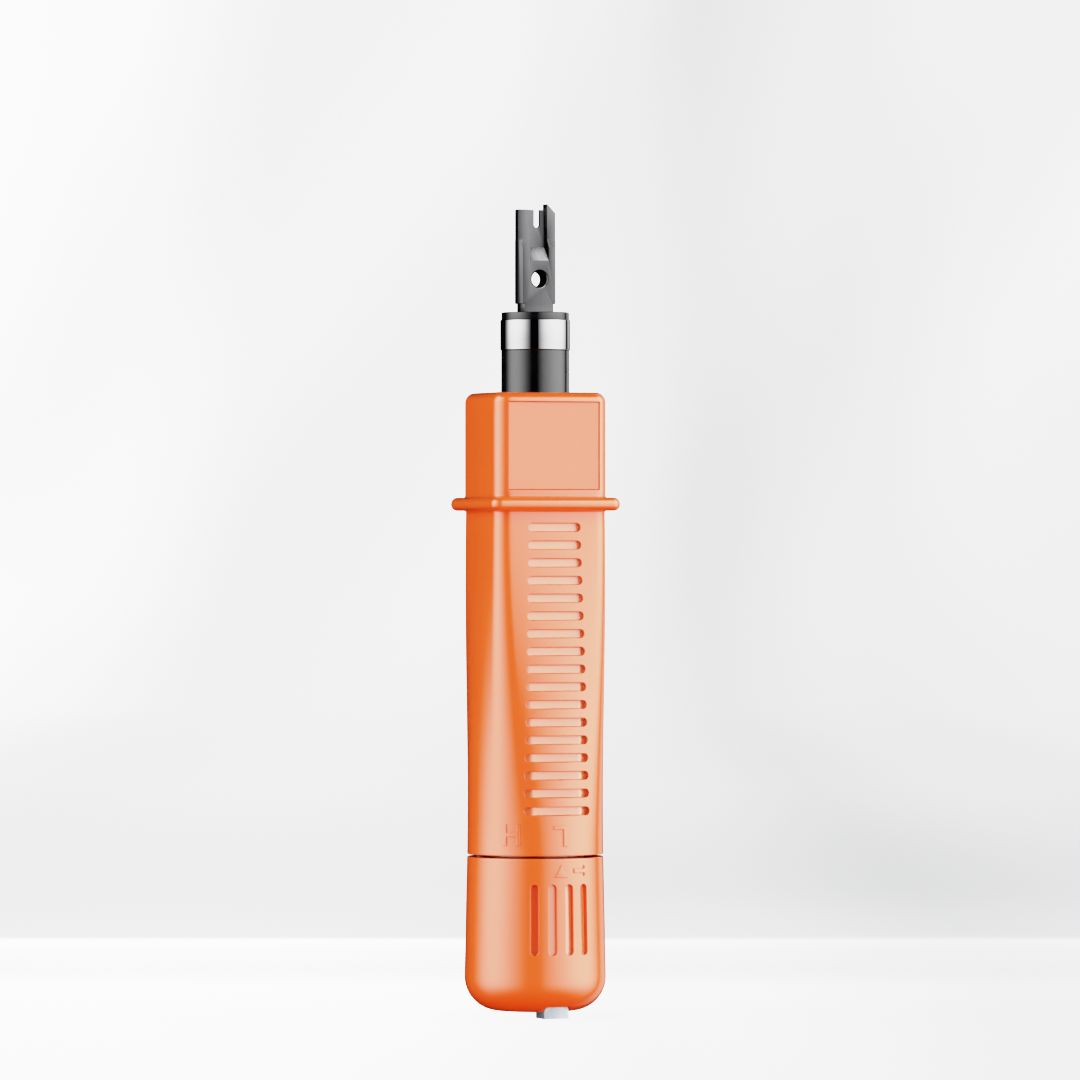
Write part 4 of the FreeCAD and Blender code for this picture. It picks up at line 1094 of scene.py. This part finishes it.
def softbox(name, steps, e0, e1, strength, radius=3.0, tint=(1.0, 1.0, 1.0)):
    """Curved panel round the object. steps are (azimuth, level); its edges fade a little up and down."""
    verts, glow, faces = [], [], []
    els = [-52, -46, -40, -33, -26, -18, -8, 0, 3, 6, 10, 18, 32, e1 - 8, e1 - 4, e1]
    lv = [0.02, 0.1, 0.26, 0.5, 0.75, 0.92, 0.98, 1.0, 1.08, 1.15, 1.2, 1.25, 1.25, 1.15, 0.8, 0.3]
    if e0 < -60 or e0 > 50:
        els = list(np.linspace(e0, e1, 8))
        lv = [1.0] * 8
    for al, level in steps:
        for el, k in zip(els, lv):
            d = toward_view(al, el)
            verts.append(tuple(d * radius + np.array([0, 0, 0.09])))
            glow.append(level * k)
    ne = len(els)
    for i in range(len(steps) - 1):
        for j in range(ne - 1):
            faces.append((i * ne + j, (i + 1) * ne + j, (i + 1) * ne + j + 1, i * ne + j + 1))
    me = bpy.data.meshes.new(name)
    me.from_pydata(verts, [], faces)
    at = me.attributes.new("glow", "FLOAT", "POINT")
    at.data.foreach_set("value", np.array(glow, np.float32))
    me.materials.append(glow_material(name + "_glow", strength, tint))
    ob = bpy.data.objects.new(name, me)
    scene.collection.objects.link(ob)
    ob.visible_camera = False
    return ob


L = 2.7
softbox("softbox_left", [(-118, 0.05), (-108, 0.25), (-98, 0.6), (-86, 0.9), (-72, 1.0), (-60, 0.97), (-50, 0.82), (-39, 0.6), (-30, 0.4), (-22, 0.2), (-15, 0.05)],
        -39, 55, L)
softbox("softbox_right", [(10, 0.08), (15, 0.25), (23, 0.45), (33, 0.64), (44, 0.78), (55, 0.92), (67, 1.04), (80, 1.06), (92, 1.02), (102, 0.88), (112, 0.6), (124, 0.26)],
        -39, 55, L)
softbox("softbox_rim", [(134, 0.26), (147, 0.28), (160, 0.22)], -39, 55, L)

# soft fills that light colour but leave no highlight: one from the front, a warm one from below
fill = softbox("fill_front", [(-40, 0.5), (-20, 1.0), (0, 1.0), (20, 0.8), (35, 0.4)], -39, 55, 0.9, 2.8)
fill.visible_glossy = False
low = softbox("fill_low", [(-90, 0.6), (-50, 1.0), (0, 1.0), (50, 1.0), (90, 0.6)], -80, -46.5, 2.2, 2.8, (1.0, 0.14, 0.02))
low.visible_glossy = False

# overhead panel that only the blade's ground facets see
over = softbox("softbox_top", [(k, 1.0) for k in range(-120, 121, 20)], 57, 100, 6.0, 2.8)
only = bpy.data.collections.new("lit_by_overhead")
only.objects.link(bpy.data.objects["insertion_blade"])
over.light_linking.receiver_collection = only

# pale floor and a far wall all round, seen only by the camera; it glows, with painted bright bands, painted side shade
# and painted diagonal shadow streaks
fm = Mesh()
prof = [(0.02, 0.0), (0.06, 0.0), (0.15, 0.0), (0.5, 0.0), (1.2, 0.0), (2.2, 0.0), (2.9, 0.0), (3.3, 0.06), (3.6, 0.25), (3.75, 0.6), (3.8, 1.2), (3.8, 3.6)]
stage_rows = []
for r, z in prof:
    stage_rows.append(fm.row([(r * 1000 * math.sin(2 * PI * k / 64), -r * 1000 * math.cos(2 * PI * k / 64), z * 1000) for k in range(64)]))
mid = fm.point((0, 0, 0))
for k in range(64):
    fm.quad(stage_rows[0][k], stage_rows[0][(k + 1) % 64], mid)
for a, b in zip(stage_rows, stage_rows[1:]):
    fm.band(a, b)
fme = bpy.data.meshes.new("pale_stage")
fme.from_pydata([(x * MM, y * MM, z * MM) for x, y, z in fm.v], [], fm.f)
fme.shade_smooth()
fmat = bpy.data.materials.new("pale_stage_painted_light")
fmat.use_nodes = True
ft = fmat.node_tree
fb = ft.nodes["Principled BSDF"]
fb.inputs["Base Color"].default_value = (0.12, 0.12, 0.12, 1)
fb.inputs["Roughness"].default_value = 0.9
fb.inputs["Specular IOR Level"].default_value = 0.0
fb.inputs["Emission Color"].default_value = (0.97, 0.98, 1.0, 1)


def stage_ramp(value, stops):
    """Ramp over (value, level) stops, returned as one float socket."""
    a, b = stops[0][0], stops[-1][0]
    mr = ft.nodes.new("ShaderNodeMapRange")
    mr.inputs["From Min"].default_value, mr.inputs["From Max"].default_value = a, b
    ft.links.new(value, mr.inputs["Value"])
    cr = ft.nodes.new("ShaderNodeValToRGB")
    cr.color_ramp.interpolation = "EASE"
    cr.color_ramp.elements[0].color = (stops[0][1] / 3,) * 3 + (1,)
    cr.color_ramp.elements[1].color = (stops[-1][1] / 3,) * 3 + (1,)
    for x, lev in stops[1:-1]:
        cr.color_ramp.elements.new((x - a) / (b - a)).color = (lev / 3,) * 3 + (1,)
    ft.links.new(mr.outputs[0], cr.inputs[0])
    return cr.outputs[0]


def stage_dot(vec):
    tc = ft.nodes.new("ShaderNodeTexCoord")
    dp = ft.nodes.new("ShaderNodeVectorMath")
    dp.operation = "DOT_PRODUCT"
    dp.inputs[1].default_value = tuple(vec)
    ft.links.new(tc.outputs["Object"], dp.inputs[0])
    return dp.outputs["Value"]


# glow of the stage: a painted bright band and dip by depth, painted shade to one side and painted diagonal shadow
# streaks
painted_depth_bands = stage_ramp(stage_dot(-CAM), [(-0.2, 2.3), (-0.02, 2.4), (0.10, 2.6), (0.17, 2.1), (0.24, 2.3), (0.303, 2.7), (0.318, 1.25), (0.6, 1.05), (1.6, 1.35), (3.8, 1.6)])
painted_side_shade = stage_ramp(stage_dot(RIGHT), [(-0.42, 1.5), (-0.3, 1.35), (-0.176, 1.0), (-0.03, 1.0), (0.03, 0.85), (0.117, 0.56), (0.2, 0.66), (0.33, 0.95), (0.42, 1.0)])
painted_shadow_streaks = stage_ramp(stage_dot(RIGHT * 0.8 - np.array([0, 0, 0.6])), [(-0.55, 1.15), (-0.4, 0.98), (-0.3, 1.1), (-0.2, 0.94), (-0.08, 1.08), (0.02, 0.93), (0.12, 1.1), (0.24, 0.92), (0.4, 1.1)])
m1, m2, m3 = (ft.nodes.new("ShaderNodeMath") for _ in range(3))
for mm, a, b in ((m1, painted_depth_bands, painted_side_shade), (m2, m1.outputs[0], painted_shadow_streaks)):
    mm.operation = "MULTIPLY"
    ft.links.new(a, mm.inputs[0])
    ft.links.new(b, mm.inputs[1])
m3.operation = "MULTIPLY"
m3.inputs[1].default_value = 27.0
ft.links.new(m2.outputs[0], m3.inputs[0])
ft.links.new(m3.outputs[0], fb.inputs["Emission Strength"])
fme.materials.append(fmat)
floor = bpy.data.objects.new("pale_stage", fme)
scene.collection.objects.link(floor)
floor.visible_diffuse = False
floor.visible_glossy = False
floor.visible_transmission = False
floor.visible_shadow = False

world = bpy.data.worlds.new("studio")
scene.world = world
world.use_nodes = True
world.node_tree.nodes["Background"].inputs[0].default_value = (0.9, 0.95, 1.0, 1)
world.node_tree.nodes["Background"].inputs[1].default_value = 0.015

# ---------------------------------------------------------------------- camera
cam_data = bpy.data.cameras.new("camera")
cam = bpy.data.objects.new("camera", cam_data)
scene.collection.objects.link(cam)
cam_data.sensor_width = 36.0
cam_data.lens = 245.0
dist = 7350.0 / 4650.0
side = 1.03 * MM
pos = CAM * dist + RIGHT * side + np.array([0, 0, 0.1024])
cam.location = Vector(pos)
cam.rotation_mode = "QUATERNION"
cam.rotation_quaternion = Vector(tuple(-CAM)).to_track_quat("-Z", "Y")
cam_data.clip_start, cam_data.clip_end = 0.05, 20.0
cam_data.dof.use_dof = False
scene.camera = cam

# tone: plain display with a soft shoulder, so that glossy panels keep their tint
vs = scene.view_settings
vs.view_transform = "Standard"
vs.look = "None"
vs.use_curve_mapping = True
cm = vs.curve_mapping
cm.use_clip = False
cm.extend = "HORIZONTAL"
TOP = 3.2
cm.white_level = (TOP, TOP, TOP)
crv = cm.curves[3]
crv.points[-1].location = (1.0, 0.985)
for x, y in ((0.013, 0.002), (0.03, 0.014), (0.07, 0.045), (0.13, 0.125), (0.25, 0.285), (0.39, 0.45), (0.5, 0.58), (0.6, 0.67),
             (0.8, 0.78), (1.06, 0.84), (1.3, 0.86), (1.6, 0.885), (2.0, 0.92), (2.5, 0.955)):
    crv.points.new(x / TOP, y)
for p in crv.points:
    p.handle_type = "AUTO_CLAMPED"
cm.update()
scene.cycles.use_denoising = True
scene.cycles.max_bounces = 8
scene.cycles.sample_clamp_indirect = 6.0
